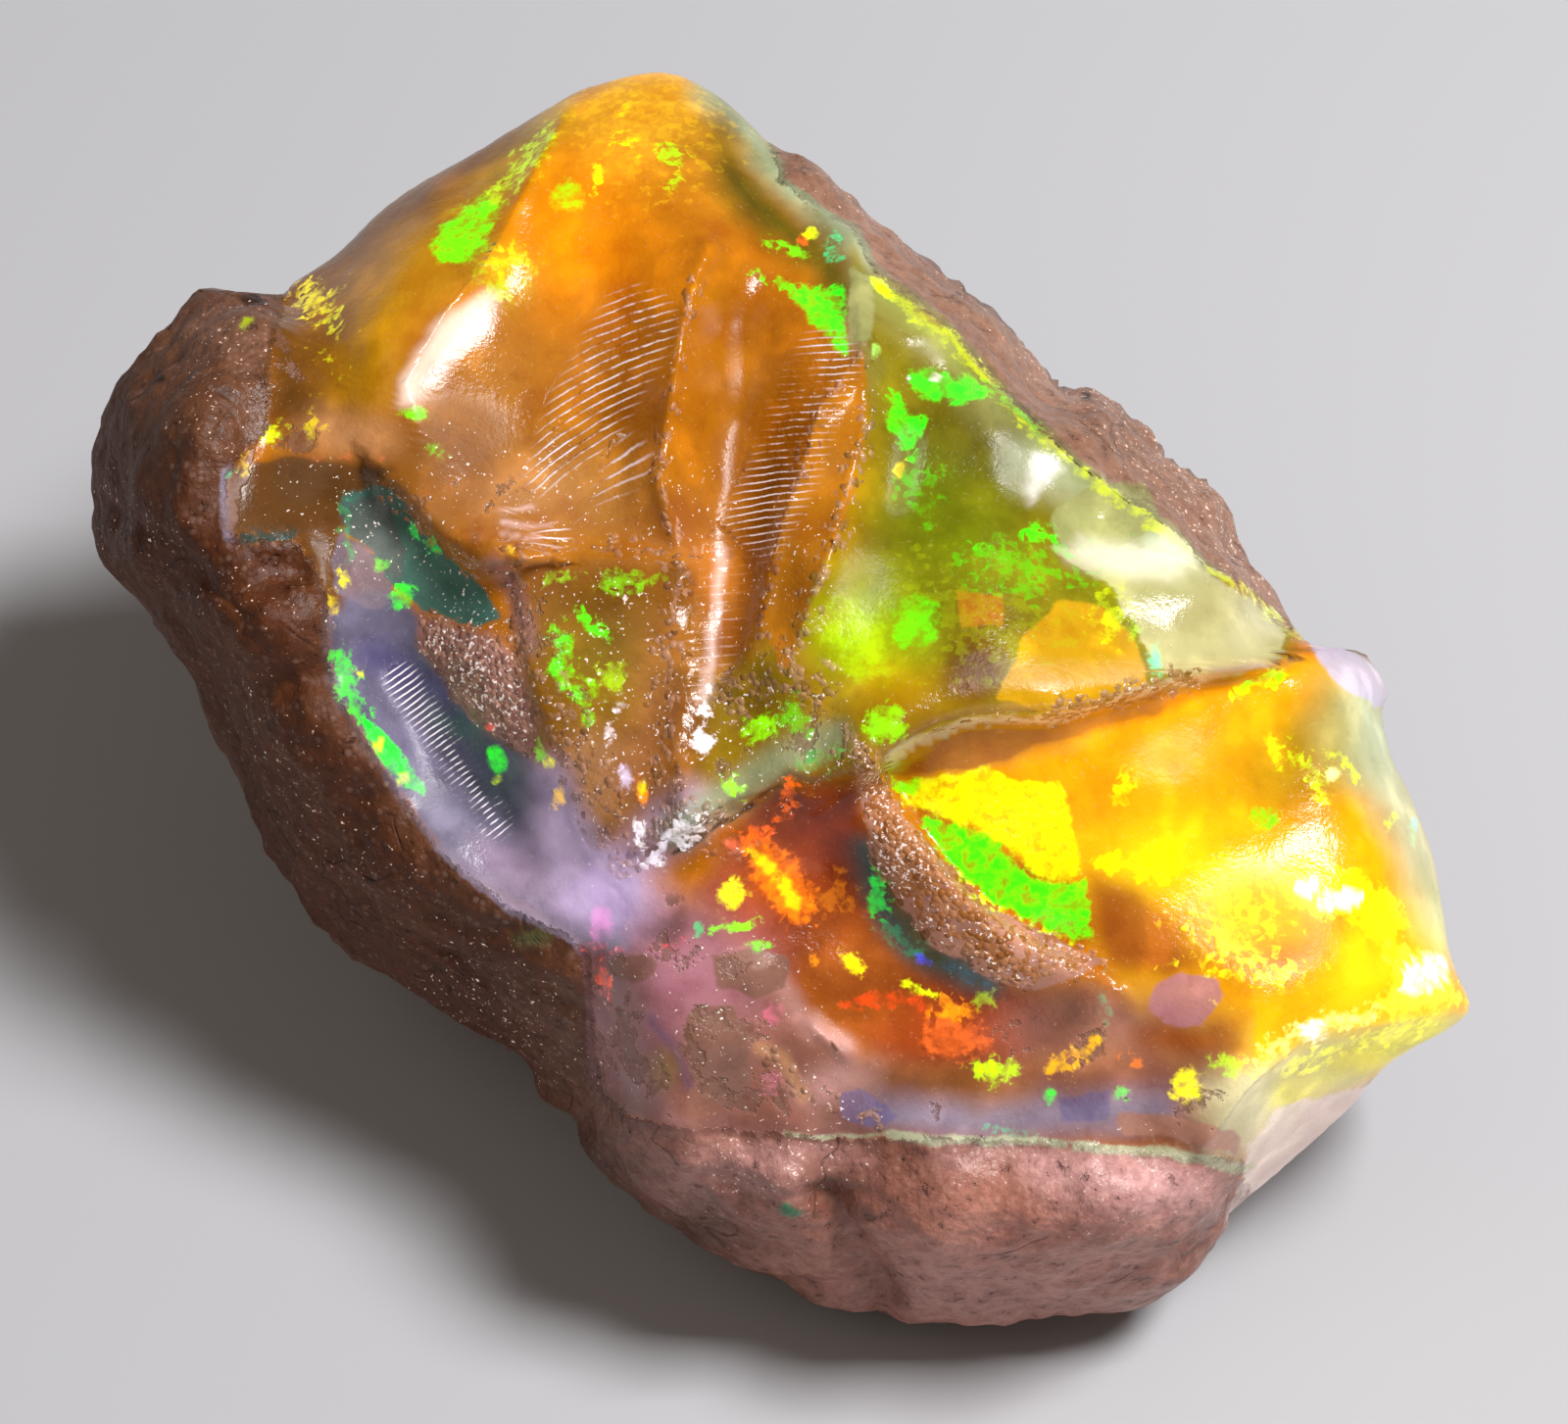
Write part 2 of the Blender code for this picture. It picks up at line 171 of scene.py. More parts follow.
def band(width, *points):
    """A strip of even width along a line on the sheet."""
    return "band", points, width


def area(*points):
    """A closed shape on the sheet."""
    return "area", points


# The outline of the nodule, clockwise from its apex
OUTLINE = (
    (675, 73), (725, 92), (764, 124), (787, 147), (824, 166), (865, 189), (893, 221),
    (922, 244), (961, 276), (1008, 307), (1040, 339), (1061, 371), (1085, 396),
    (1109, 398), (1139, 412), (1168, 433), (1192, 463), (1240, 503), (1270, 560),
    (1310, 620), (1334, 655), (1373, 662), (1404, 682), (1417, 710), (1411, 727),
    (1421, 775), (1441, 814), (1463, 873), (1471, 918), (1477, 963), (1488, 996),
    (1500, 1022), (1497, 1036), (1474, 1052), (1424, 1080), (1397, 1106), (1382, 1126),
    (1341, 1164), (1294, 1205), (1280, 1217), (1256, 1235), (1250, 1258), (1224, 1287),
    (1206, 1311), (1165, 1331), (1118, 1343), (1048, 1349), (960, 1350), (925, 1349),
    (869, 1338), (807, 1318), (728, 1279), (672, 1243), (616, 1198), (594, 1164),
    (591, 1142), (560, 1122), (540, 1090), (490, 1055), (430, 1020), (340, 960),
    (280, 880), (235, 780), (190, 690), (147, 628), (108, 584), (93, 541), (91, 495),
    (93, 452), (116, 403), (144, 362), (182, 316), (203, 288), (262, 300), (292, 301),
    (300, 289), (344, 259), (385, 218), (423, 189), (476, 160), (543, 119), (599, 89),
)
OUTLINE_MIDDLE = (790.0, 740.0)

# Heights of the face at the places that set its form: x, y, height
HEIGHTS = (
    # apex and the upper left edge
    (675, 80, -8.0), (600, 92, -8.0), (543, 119, -8.5), (476, 160, -9.0), (423, 189, -9.5),
    (344, 259, -9.0), (292, 301, -8.0), (760, 130, -7.0), (640, 150, -4.5),
    (700, 170, -3.5), (780, 190, -4.0), (840, 250, -2.0), (870, 232, -3.0),
    (560, 150, -5.0), (493, 271, -1.5), (440, 235, -4.2), (487, 300, -1.15),
    (462, 305, -0.7), (472, 335, -0.45), (440, 330, -0.05), (452, 362, 0.2), (430, 385, 0.85),
    (412, 365, 0.8), (420, 410, 1.3), (400, 395, 1.2), (411, 318, 0.0), (385, 350, 0.5),
    (372, 405, 0.9), (372, 320, -1.8), (330, 330, -4.2), (345, 400, -1.2),
    # left bowl
    (560, 250, -2.4), (608, 236, -2.4), (510, 340, -0.85), (540, 330, -1.0),
    (530, 400, 0.2), (590, 400, 0.2), (480, 410, 0.72), (640, 330, 0.2), (640, 460, 1.9),
    (560, 490, 1.6), (440, 480, 1.25), (480, 500, 1.3), (513, 522, 2.3),
    # ridge between the bowls
    (722, 255, 0.5), (702, 320, 2.2), (687, 400, 3.4), (675, 490, 4.2), (698, 572, 4.4),
    (698, 640, 5.5),
    # right trough
    (745, 330, 0.2), (755, 430, 1.3), (752, 500, 2.3), (748, 560, 3.3), (731, 560, 3.4),
    (748, 620, 4.3), (731, 620, 4.4), (745, 680, 5.3), (729, 680, 5.4), (720, 740, 6.2),
    (812, 330, 1.6), (810, 420, 3.4), (790, 530, 4.8), (778, 620, 5.6), (770, 660, 6.4),
    # blade
    (881, 363, 3.5), (850, 450, 5.2), (815, 560, 7.0), (790, 680, 7.8),
    # right face
    (900, 300, 0.4), (925, 385, 1.9), (915, 520, 5.0), (895, 650, 8.1), (905, 770, 9.4),
    (1000, 400, 2.2), (1000, 470, 4.0), (1010, 540, 5.8), (1064, 490, 3.5),
    (1020, 620, 7.7), (980, 720, 8.9),
    (1074, 725, 8.0), (1124, 620, 5.6), (1171, 707, 6.4), (1123, 529, 2.9),
    (1230, 640, 4.0), (1289, 680, 3.6), (1317, 665, 2.8), (888, 271, -0.8),
    (961, 331, 0.6), (1042, 420, 2.1), (1109, 479, 2.9), (1200, 548, 2.7),
    (1264, 593, 2.4), (1321, 643, 2.0), (1380, 690, 0.8), (1410, 712, -1.5),
    # bench
    (910, 800, 6.6), (1000, 790, 6.4), (1080, 770, 5.9), (1181, 740, 5.1),
    (1290, 715, 3.5), (1000, 850, 6.2), (1100, 850, 5.4), (1200, 800, 4.8),
    (1330, 760, 2.2), (1400, 760, 0.8), (1421, 775, -0.5), (1200, 900, 4.5),
    (1320, 865, 2.9), (1330, 915, 3.85), (1365, 920, 3.5), (1420, 880, 1.6),
    (1465, 900, -0.8), (1480, 1000, 0.7), (1457, 990, 1.6), (1400, 980, 3.4),
    (1300, 980, 4.9), (1200, 990, 5.2), (1495, 1026, -1.0),
    # crest and the facets below it
    (1420, 1045, 2.2), (1340, 1060, 4.2), (1280, 1105, 4.8), (1230, 1170, 4.0),
    (1397, 1090, 0.0), (1382, 1126, -4.0), (1300, 1140, 1.5), (1294, 1205, -4.5),
    (1260, 1190, 1.0),
    # middle and lower middle
    (711, 846, 7.2), (801, 793, 8.2), (874, 793, 8.8), (760, 740, 6.4), (850, 740, 8.6),
    (800, 850, 5.8), (760, 900, 5.4), (850, 880, 4.6), (900, 940, 4.2), (850, 980, 4.4),
    (980, 1040, 4.2), (1080, 1040, 4.4), (1100, 1000, 5.4), (880, 800, 8.2),
    (905, 860, 6.6), (950, 930, 6.0), (1030, 970, 5.8), (960, 840, 6.6),
    (1010, 930, 6.2), (1090, 960, 5.2), (700, 930, 5.2), (660, 1010, 4.6),
    (760, 1020, 4.8), (740, 1100, 4.0), (660, 1100, 3.2), (850, 1100, 4.4),
    (1000, 1110, 4.4), (1130, 1110, 4.6), (1200, 1070, 4.6), (740, 1153, 2.3),
    (869, 1164, 2.8), (1033, 1164, 3.0), (1151, 1176, 2.9), (1224, 1179, 2.8),
    (600, 640, 4.6), (560, 700, 4.4), (640, 760, 5.4), (600, 820, 4.6), (670, 830, 6.0),
    (640, 680, 5.2), (500, 560, 3.2), (540, 620, 3.8),
    # left pockets
    (430, 552, 0.5), (390, 540, -0.5), (460, 600, 0.8), (350, 500, 1.0), (360, 590, 0.4),
    (480, 680, 2.2), (520, 740, 3.0), (380, 680, -0.8), (420, 740, -1.2),
    (470, 800, -0.8), (540, 850, 0.6), (600, 900, 3.0), (560, 930, 2.0), (420, 800, -0.2),
    # left rim
    (334, 640, 1.6), (345, 710, 1.2), (390, 783, 1.0), (455, 873, 1.0), (520, 925, 1.2),
    (585, 958, 2.0), (297, 546, 1.0), (240, 520, 0.6), (250, 464, -0.2), (275, 441, -0.8),
    (320, 440, 0.0), (358, 460, 0.9), (285, 350, -3.0),
    # left rind and its knob
    (200, 420, 0.6), (200, 500, 0.8), (150, 450, -1.8), (150, 560, -2.4),
    (103, 480, -9.0), (203, 295, -9.0), (240, 370, -1.6), (250, 320, -4.6),
    (135, 390, -6.5), (200, 640, -1.8), (150, 628, -8.5), (260, 700, -0.4),
    (190, 690, -8.5),
    (300, 800, -1.6), (235, 780, -9.0), (280, 880, -9.0), (370, 880, -1.8),
    (340, 960, -9.0), (460, 960, -1.8), (430, 1020, -9.0), (540, 1020, -1.6),
    (540, 1090, -8.0), (560, 1122, -7.5), (608, 1060, 0.2), (596, 1130, -5.0),
    # lower rind
    (640, 1160, 0.6), (616, 1198, -4.5), (672, 1243, -5.0), (700, 1180, 2.4),
    (728, 1279, -5.2), (800, 1200, 3.4), (800, 1230, 3.0), (849, 1240, 1.6),
    (870, 1335, -5.2), (960, 1220, 3.4), (960, 1260, 2.4), (1060, 1220, 3.8),
    (1060, 1270, 2.4), (960, 1349, -5.2), (1100, 1345, -5.2), (1136, 1205, 4.0),
    (1140, 1230, 4.2), (1150, 1265, 2.8), (1206, 1311, -5.0), (1230, 1215, 2.6),
    (1256, 1235, -2.0),
    # upper right rind
    (830, 180, -4.5), (865, 189, -8.0), (893, 221, -8.0), (961, 276, -7.5),
    (940, 290, -2.2), (1040, 339, -7.0), (1085, 396, -6.0), (1120, 430, -1.0),
    (1168, 433, -6.0), (1240, 503, -5.5), (1180, 500, 0.4), (1270, 560, -4.0),
    (1310, 620, -3.0),
)

# Sharp crests where two broken surfaces meet: line, height in mm, reach in mm
CRESTS = (
    (((725, 250), (710, 283), (696, 338), (687, 397), (678, 450), (672, 485), (678, 512),
      (698, 572)), 1.2, 2.2),
    (((576, 113), (556, 150), (530, 205), (493, 271)), 1.0, 1.6),
    (((493, 271), (450, 320), (412, 390), (430, 450)), 0.4, 1.5),
    (((881, 363), (838, 416), (798, 535), (775, 635), (752, 700)), 0.6, 1.2),
    (((874, 250), (881, 363), (884, 426), (854, 542), (821, 638)), 0.6, 1.2),
    (((892, 283), (961, 331), (1042, 420), (1109, 479), (1200, 548), (1264, 593),
      (1321, 643)), 0.5, 1.2),
    (((1497, 1030), (1420, 1045), (1340, 1055), (1280, 1105), (1230, 1170)), 0.8, 1.6),
    (((700, 690), (690, 760), (700, 830)), 0.5, 1.5),
    (((829, 1049), (863, 1077)), 0.4, 0.8),
)

# Ledges, high on the left of their line's direction: line, drop in mm, reach in mm
LEDGES = (
    (((903, 782), (956, 746), (992, 736), (1074, 732), (1124, 721), (1171, 707),
      (1210, 693), (1289, 686), (1317, 671)), 1.8, 2.6),
    (((700, 850), (711, 846), (744, 821), (773, 815), (801, 793), (829, 807),
      (874, 793)), 1.2, 2.2),
    (((400, 499), (446, 552), (489, 582), (526, 578)), 1.6, 2.0),
    (((698, 568), (640, 560), (570, 560), (516, 552)), 0.8, 2.0),
    (((1098, 985), (1040, 955), (978, 903), (936, 850), (905, 790)), 1.2, 2.0),
    (((526, 590), (536, 682), (550, 733), (560, 800), (600, 860)), 0.6, 2.0),
)

# Grooves in the rind: line, depth in mm, half width in mm
GROOVES = (
    (((849, 1215), (863, 1271), (897, 1320)), 0.7, 1.3),
    (((602, 976), (611, 1060), (591, 1142)), 1.0, 0.9),
    (((230, 296), (262, 306), (292, 312)), 0.9, 0.7),
    (((150, 610), (200, 590), (250, 600), (300, 580)), 0.7, 0.8),
    (((215, 745), (262, 700), (330, 690)), 0.7, 0.8),
    (((330, 950), (330, 880), (360, 820)), 0.5, 0.8),
    (((440, 1010), (470, 950), (520, 950)), 0.5, 0.8),
)

# Fine folds of the rind, too narrow for the solid: line, depth in mm, half width in mm
WRINKLES = (
    (((101, 516), (160, 548), (203, 591), (240, 623)), 0.30, 0.5),
    (((240, 548), (283, 575), (320, 596)), 0.25, 0.4),
    (((120, 600), (160, 660), (215, 720), (250, 790)), 0.30, 0.6),
    (((150, 450), (180, 470), (215, 472)), 0.20, 0.4),
    (((170, 330), (180, 370), (172, 420)), 0.25, 0.5),
    (((290, 790), (330, 850), (390, 900), (440, 930)), 0.30, 0.6),
    (((350, 905), (420, 960), (500, 1000), (560, 1010)), 0.35, 0.6),
    (((620, 1180), (700, 1200), (790, 1226), (850, 1222)), 0.25, 0.5),
    (((900, 1300), (1000, 1318), (1100, 1306), (1180, 1280)), 0.30, 0.6),
    (((700, 1250), (780, 1290), (860, 1318)), 0.30, 0.6),
    (((852, 1225), (868, 1275), (903, 1328)), 0.9, 0.7),
    (((700, 1165), (760, 1220), (830, 1250)), 0.30, 0.9),
    (((1010, 300), (1060, 356), (1104, 420)), 0.20, 0.5),
    (((1150, 450), (1210, 512), (1262, 566)), 0.20, 0.5),
)

# Round lumps and pits: x, y, radius in mm, height in mm
LUMPS = (
    (190, 380, 2.0, 0.4), (170, 500, 3.5, 0.5), (240, 640, 2.6, 0.6), (285, 760, 3.0, 0.7),
    (380, 930, 3.0, 0.6), (500, 1010, 2.5, 0.5), (700, 1215, 3.5, 0.8), (950, 1260, 4.0, 0.7),
    (1140, 1220, 3.5, 0.8), (1110, 425, 2.0, 0.6), (1010, 340, 2.5, 0.5),
    (438, 195, 1.2, 0.7), (1123, 529, 2.4, -0.8), (1142, 604, 1.6, 0.4),
    (1230, 625, 1.8, 0.5), (770, 993, 1.0, 0.3), (728, 1069, 1.5, 0.3),
)

# The broken glass inside the rind, one closed line; where it passes the outline
# the glass runs over the edge of the stone
GLASS_EDGE = (
    (292, 301), (260, 250), (420, 140), (560, 70), (680, 30), (770, 90), (787, 150),
    (796, 189), (824, 207), (870, 232), (888, 271), (915, 294), (961, 331), (1000, 368),
    (1042, 420), (1077, 449), (1109, 479), (1144, 503), (1200, 548), (1222, 567),
    (1264, 593), (1296, 618), (1321, 643), (1345, 640), (1460, 660), (1560, 1030),
    (1400, 1180), (1290, 1240), (1270, 1204), (1265, 1182), (1224, 1179), (1151, 1176),
    (1086, 1164), (1033, 1164), (960, 1161), (869, 1164), (784, 1156), (740, 1153),
    (690, 1150), (640, 1140), (612, 1110), (606, 1060), (600, 976), (585, 958),
    (520, 925), (455, 873), (424, 831), (390, 783), (362, 741), (343, 710), (334, 665),
    (332, 606), (318, 570), (297, 552), (249, 552), (230, 541), (230, 495), (232, 482),
    (246, 464), (272, 441), (275, 370), (285, 330),
)

# The pocket at the left, full of sand
SAND_POCKET = area(
    (433, 629), (503, 648), (534, 682), (548, 733), (542, 772), (503, 747), (469, 716),
    (449, 688), (427, 660),
)

# Where sand grains stick to the glass: shape, amount, softness
SAND = (
    (band(8, (956, 746), (992, 736), (1074, 732)), 0.35, 16),
    (band(16, (1074, 730), (1124, 718), (1171, 704), (1215, 692)), 0.75, 16),
    (band(12, (516, 552), (570, 560), (640, 560), (698, 572)), 0.5, 16),
    (band(8, (711, 290), (696, 338), (687, 397), (678, 450), (672, 485), (698, 572)), 0.45, 16),
    (band(12, (881, 363), (838, 416), (798, 535), (775, 635), (770, 700)), 0.5, 16),
    (band(16, (884, 426), (854, 542), (821, 638), (800, 720)), 0.55, 16),
    (band(26, (694, 572), (686, 640), (676, 700), (682, 770), (690, 830)), 0.45, 16),
    (band(30, (700, 830), (660, 858), (636, 880)), 0.7, 16),
    (band(20, (702, 846), (730, 832)), 0.7, 16),
    (band(50, (560, 700), (600, 780), (620, 840)), 0.4, 16),
    (band(40, (720, 720), (780, 700), (840, 700)), 0.4, 16),
    (band(20, (850, 768), (880, 760), (903, 782)), 0.4, 16),
    (band(12, (400, 499), (446, 552), (489, 582), (526, 578)), 0.6, 16),
    (band(18, (526, 600), (536, 682), (550, 733)), 0.6, 16),
    (band(20, (760, 870), (740, 860), (711, 850)), 0.4, 16),
    (band(16, (784, 1072), (827, 1119), (900, 1150)), 0.4, 16),
    (SAND_POCKET, 1.0, 12),
    (area((858, 736), (902, 783), (919, 830), (957, 874), (978, 903), (940, 920), (916, 912),
          (893, 886), (887, 848), (875, 789)), 1.0, 12),
    (area((957, 874), (1016, 930), (1075, 956), (1130, 980), (1098, 997), (1051, 1012),
          (1016, 1000), (966, 971), (937, 950), (916, 912)), 0.6, 12),
)

# Hackle lines, fine steps left by the break: "arc" lines go round a centre and
# "fan" lines run out from it. The strip they cross, the centre, how far one line is
# from the next in squares or degrees, strength, and how bright the painted highlight
# on their edges is
HACKLES = (
    ("arc", band(66, (572, 500), (600, 420), (650, 330)), (806, 784), 8.8, 1.0, 1.0),
    ("fan", band(40, (512, 536), (560, 520), (640, 470)), (488, 560), 4.2, 0.9, 0.8),
    ("fan", band(34, (506, 536), (530, 532), (560, 536)), (488, 548), 6.0, 1.0, 2.0),
    ("arc", band(56, (842, 370), (822, 420), (800, 480), (770, 540)), (900, 1400), 7.4, 1.0, 0.9),
    ("arc", band(34, (746, 560), (734, 620), (724, 690)), (820, 1500), 9.0, 0.7, 0.5),
    ("arc", band(17, (410, 694), (442, 742), (470, 782), (504, 838)), (814, 1261), 6.4, 1.0, 4.0),
)

# Where brown matrix is mixed into the glass: shape, amount, softness
MATRIX = (
    (area((600, 950), (640, 930), (720, 930), (800, 1020), (780, 1070), (790, 1140), (740, 1146),
          (612, 1110)), 0.36, 30),
    (band(60, (860, 1120), (1000, 1130), (1240, 1140)), 0.18, 20),
    (band(26, (602, 968), (608, 1050), (616, 1120)), 0.5, 12),
    (area((530, 590), (570, 590), (590, 700), (580, 820), (545, 740)), 0.36, 30),
    (area((700, 700), (790, 660), (870, 760), (800, 790), (730, 820)), 0.36, 30),
    (area((234, 480), (300, 468), (350, 474), (398, 484), (340, 545), (346, 600), (300, 552),
          (236, 540)), 0.15, 10),
    (band(40, (262, 310), (285, 380), (300, 440)), 0.45, 20),
    (band(24, (262, 424), (244, 470), (232, 560)), 0.8, 10),
    (blob(1064, 1058, 60, 36), 0.28, 24),
    (blob(992, 690, 28, 30, 20), 0.40, 16),
    (band(60, (420, 480), (480, 520), (560, 540)), 0.22, 30),
)

# Where the surface is duller than elsewhere: shape, amount, softness
DULL = (
    (band(14, (393, 690), (420, 750), (440, 800)), 0.8, 10),
    (blob(442, 812, 20, 18), 1.0, 10),
    (blob(388, 572, 26, 40), 1.5, 10),
    (band(14, (325, 550), (328, 592)), 1.0, 8),
    (blob(1032, 474, 16, 34, 20), 1.0, 12),
    (band(26, (930, 450), (918, 512)), 1.7, 10),
    (blob(950, 358, 24, 14, 20), 1.0, 10),
    (band(18, (749, 316), (749, 404)), 1.0, 8),
    (band(16, (750, 430), (742, 548)), 0.7, 8),
    (blob(878, 594, 22, 24), 1.7, 40),
    (blob(1003, 688, 34, 22), 1.0, 12),
    (band(26, (1020, 690), (1165, 684)), 1.0, 10),
    (blob(1290, 940, 64, 46, -20), 1.6, 30),
    (band(16, (828, 1036), (862, 1066)), 1.2, 8),
    (blob(768, 975, 18, 14), 1.2, 8),
    (blob(465, 440, 50, 40), 1.3, 20),
    (blob(1195, 770, 26, 20), 1.8, 44),
    (area((40, 220), (250, 260), (215, 480), (330, 640), (440, 860), (580, 970), (600, 1200),
          (400, 1160), (40, 900)), 1.0, 60),
)

# Where tiny chips get painted glints, white with a little glow: shape, amount, softness
GLINT_SPOTS = (
    (band(64, (256, 300), (226, 360), (215, 440)), 0.5, 30),
    (band(60, (120, 520), (200, 590), (300, 620)), 0.35, 40),
    (area((460, 950), (560, 1000), (600, 1100), (520, 1080), (430, 1010)), 0.55, 40),
    (band(60, (240, 700), (330, 830), (420, 920)), 0.35, 40),
    (blob(790, 1186, 70, 36, 10), 0.7, 40),
    (blob(1140, 1210, 90, 44), 0.35, 40),
    (area((530, 580), (700, 575), (720, 860), (620, 900), (550, 740)), 0.5, 40),
    (band(70, (350, 510), (420, 560), (490, 630)), 0.45, 30),
    (area((600, 950), (800, 940), (860, 1090), (820, 1150), (610, 1110)), 0.15, 40),
    (band(60, (700, 500), (735, 600), (720, 700)), 0.45, 40),
    (area((430, 430), (560, 470), (680, 540), (530, 560), (440, 530)), 0.45, 50),
    (band(60, (830, 130), (1000, 270), (1130, 400), (1300, 590)), 0.9, 30),
    (band(40, (868, 400), (836, 520), (790, 680)), 0.3, 30),
    (area((240, 480), (300, 470), (350, 476), (398, 486), (346, 540), (250, 540)), 0.3, 12),
    (area((345, 500), (380, 494), (410, 510), (400, 540), (370, 545)), 0.5, 14),
    (band(30, (470, 600), (500, 640), (520, 620)), 0.8, 16),
    (area((690, 720), (860, 700), (890, 790), (720, 860)), 0.5, 30),
)

# Palette of the stone, as sRGB. In TINTS, a colour whose name starts with "rind"
# lies on the rind only, and any other on the glass only
COLOURS = {
    "apex_gold": "#E2A428",
    "orange_glow": "#EE8E00",
    "amber": "#BC6E0C",
    "deep_amber": "#A46410",
    "brown_amber": "#8E5A1C",
    "honey": "#BC8200",
    "burnt_honey": "#5E3A10",
    "caramel": "#A87434",
    "toffee": "#744208",
    "salmon_brown": "#B06C38",
    "olive": "#8A7A12",
    "dark_olive": "#5C5410",
    "moss": "#6E7404",
    "chartreuse": "#98B400",
    "sage": "#A6A66A",
    "cream": "#D8D2A0",
    "pale_green": "#C0C8A4",
    "lemon": "#F4EC14",
    "gold": "#EFA606",
    "ochre": "#B87214",
    "rust": "#A8581A",
    "brick": "#8A3C18",
    "deep_red": "#8A3418",
    "mauve": "#BC7E8E",
    "plum_brown": "#8E5E54",
    "lilac": "#CAB4DA",
    "lilac_grey": "#A096AE",
    "violet": "#746A9C",
    "violet_grey": "#686278",
    "dark_violet": "#544C7C",
    "forest": "#4A7266",
    "slate": "#4A6060",
    "peach": "#D0986C",
    "sand": "#8C6354",
    "pink_sand": "#B4806C",
    "matrix": "#68421E",
    "shell": "#ECD8D0",
    "pit": "#1A0E08",
    "edge_green": "#A0AE88",
    # pale pink of the rind, used as painted sheen
    "rind_blush_sheen": "#F0BAB8",
    "facet_gold": "#CC9A12",
    "rim_pale": "#D0BEA4",
    "mist": "#50625E",
    # dark colour of pits: painted shade in small hollows
    "sand_rose": "#A07474",
    "mauve_grey": "#7A6C78",
    "shadow": "#3A2410",
    # amber of the ledge's step face, darker as painted shade
    "ledge_amber": "#B4701A",
    "milk": "#AC94AE",
    # a dark brown of the rind, deepened as painted shade
    "rind_dark_shade": "#5C2C0C",
    "rind_brown": "#7A5038",
    "rind_pink": "#B47A6A",
    "rind_rose": "#B88A72",
    # painted highlight on the rind
    "rind_highlight": "#FAAA94",
    "rind_umber": "#764420",
    "rind_shadow": "#30180C",
    "blush": "#BE8C84",
    "rind_moss": "#6E8450",
    "green_stain": "#2EA070",
    "lime": "#C8E010",
    "pine": "#38463E",
    "white": "#C4BCD4",
    "iron_stain": "#5E300E",
    "rind_shade": "#805038",
    # painted shade in the rind's pits and creases
    "crease": "#241208",
    "pale_grain": "#E0B8A8",
    # pale specks in the glass: painted glints
    "glint_speck": "#F4D8A0",
    "matrix_dark": "#6A4430",
    "matrix_light": "#A07C70",
    # painted highlight along the hackle lines
    "hackle_highlight": "#FAF0FA",
    "sand_brown": "#6E4028",
    "sand_straw": "#D8A488",
    "flash_warmth": "#503800",
    # painted glints: chips of the glass and the rind, and the glow of chips and hackle edges
    "glass_chip_glint": "#FFF0E8",
    "rind_chip_glint": "#F0CCB8",
    "glint": "#FFF0F0",
    "black": "#000000",
}

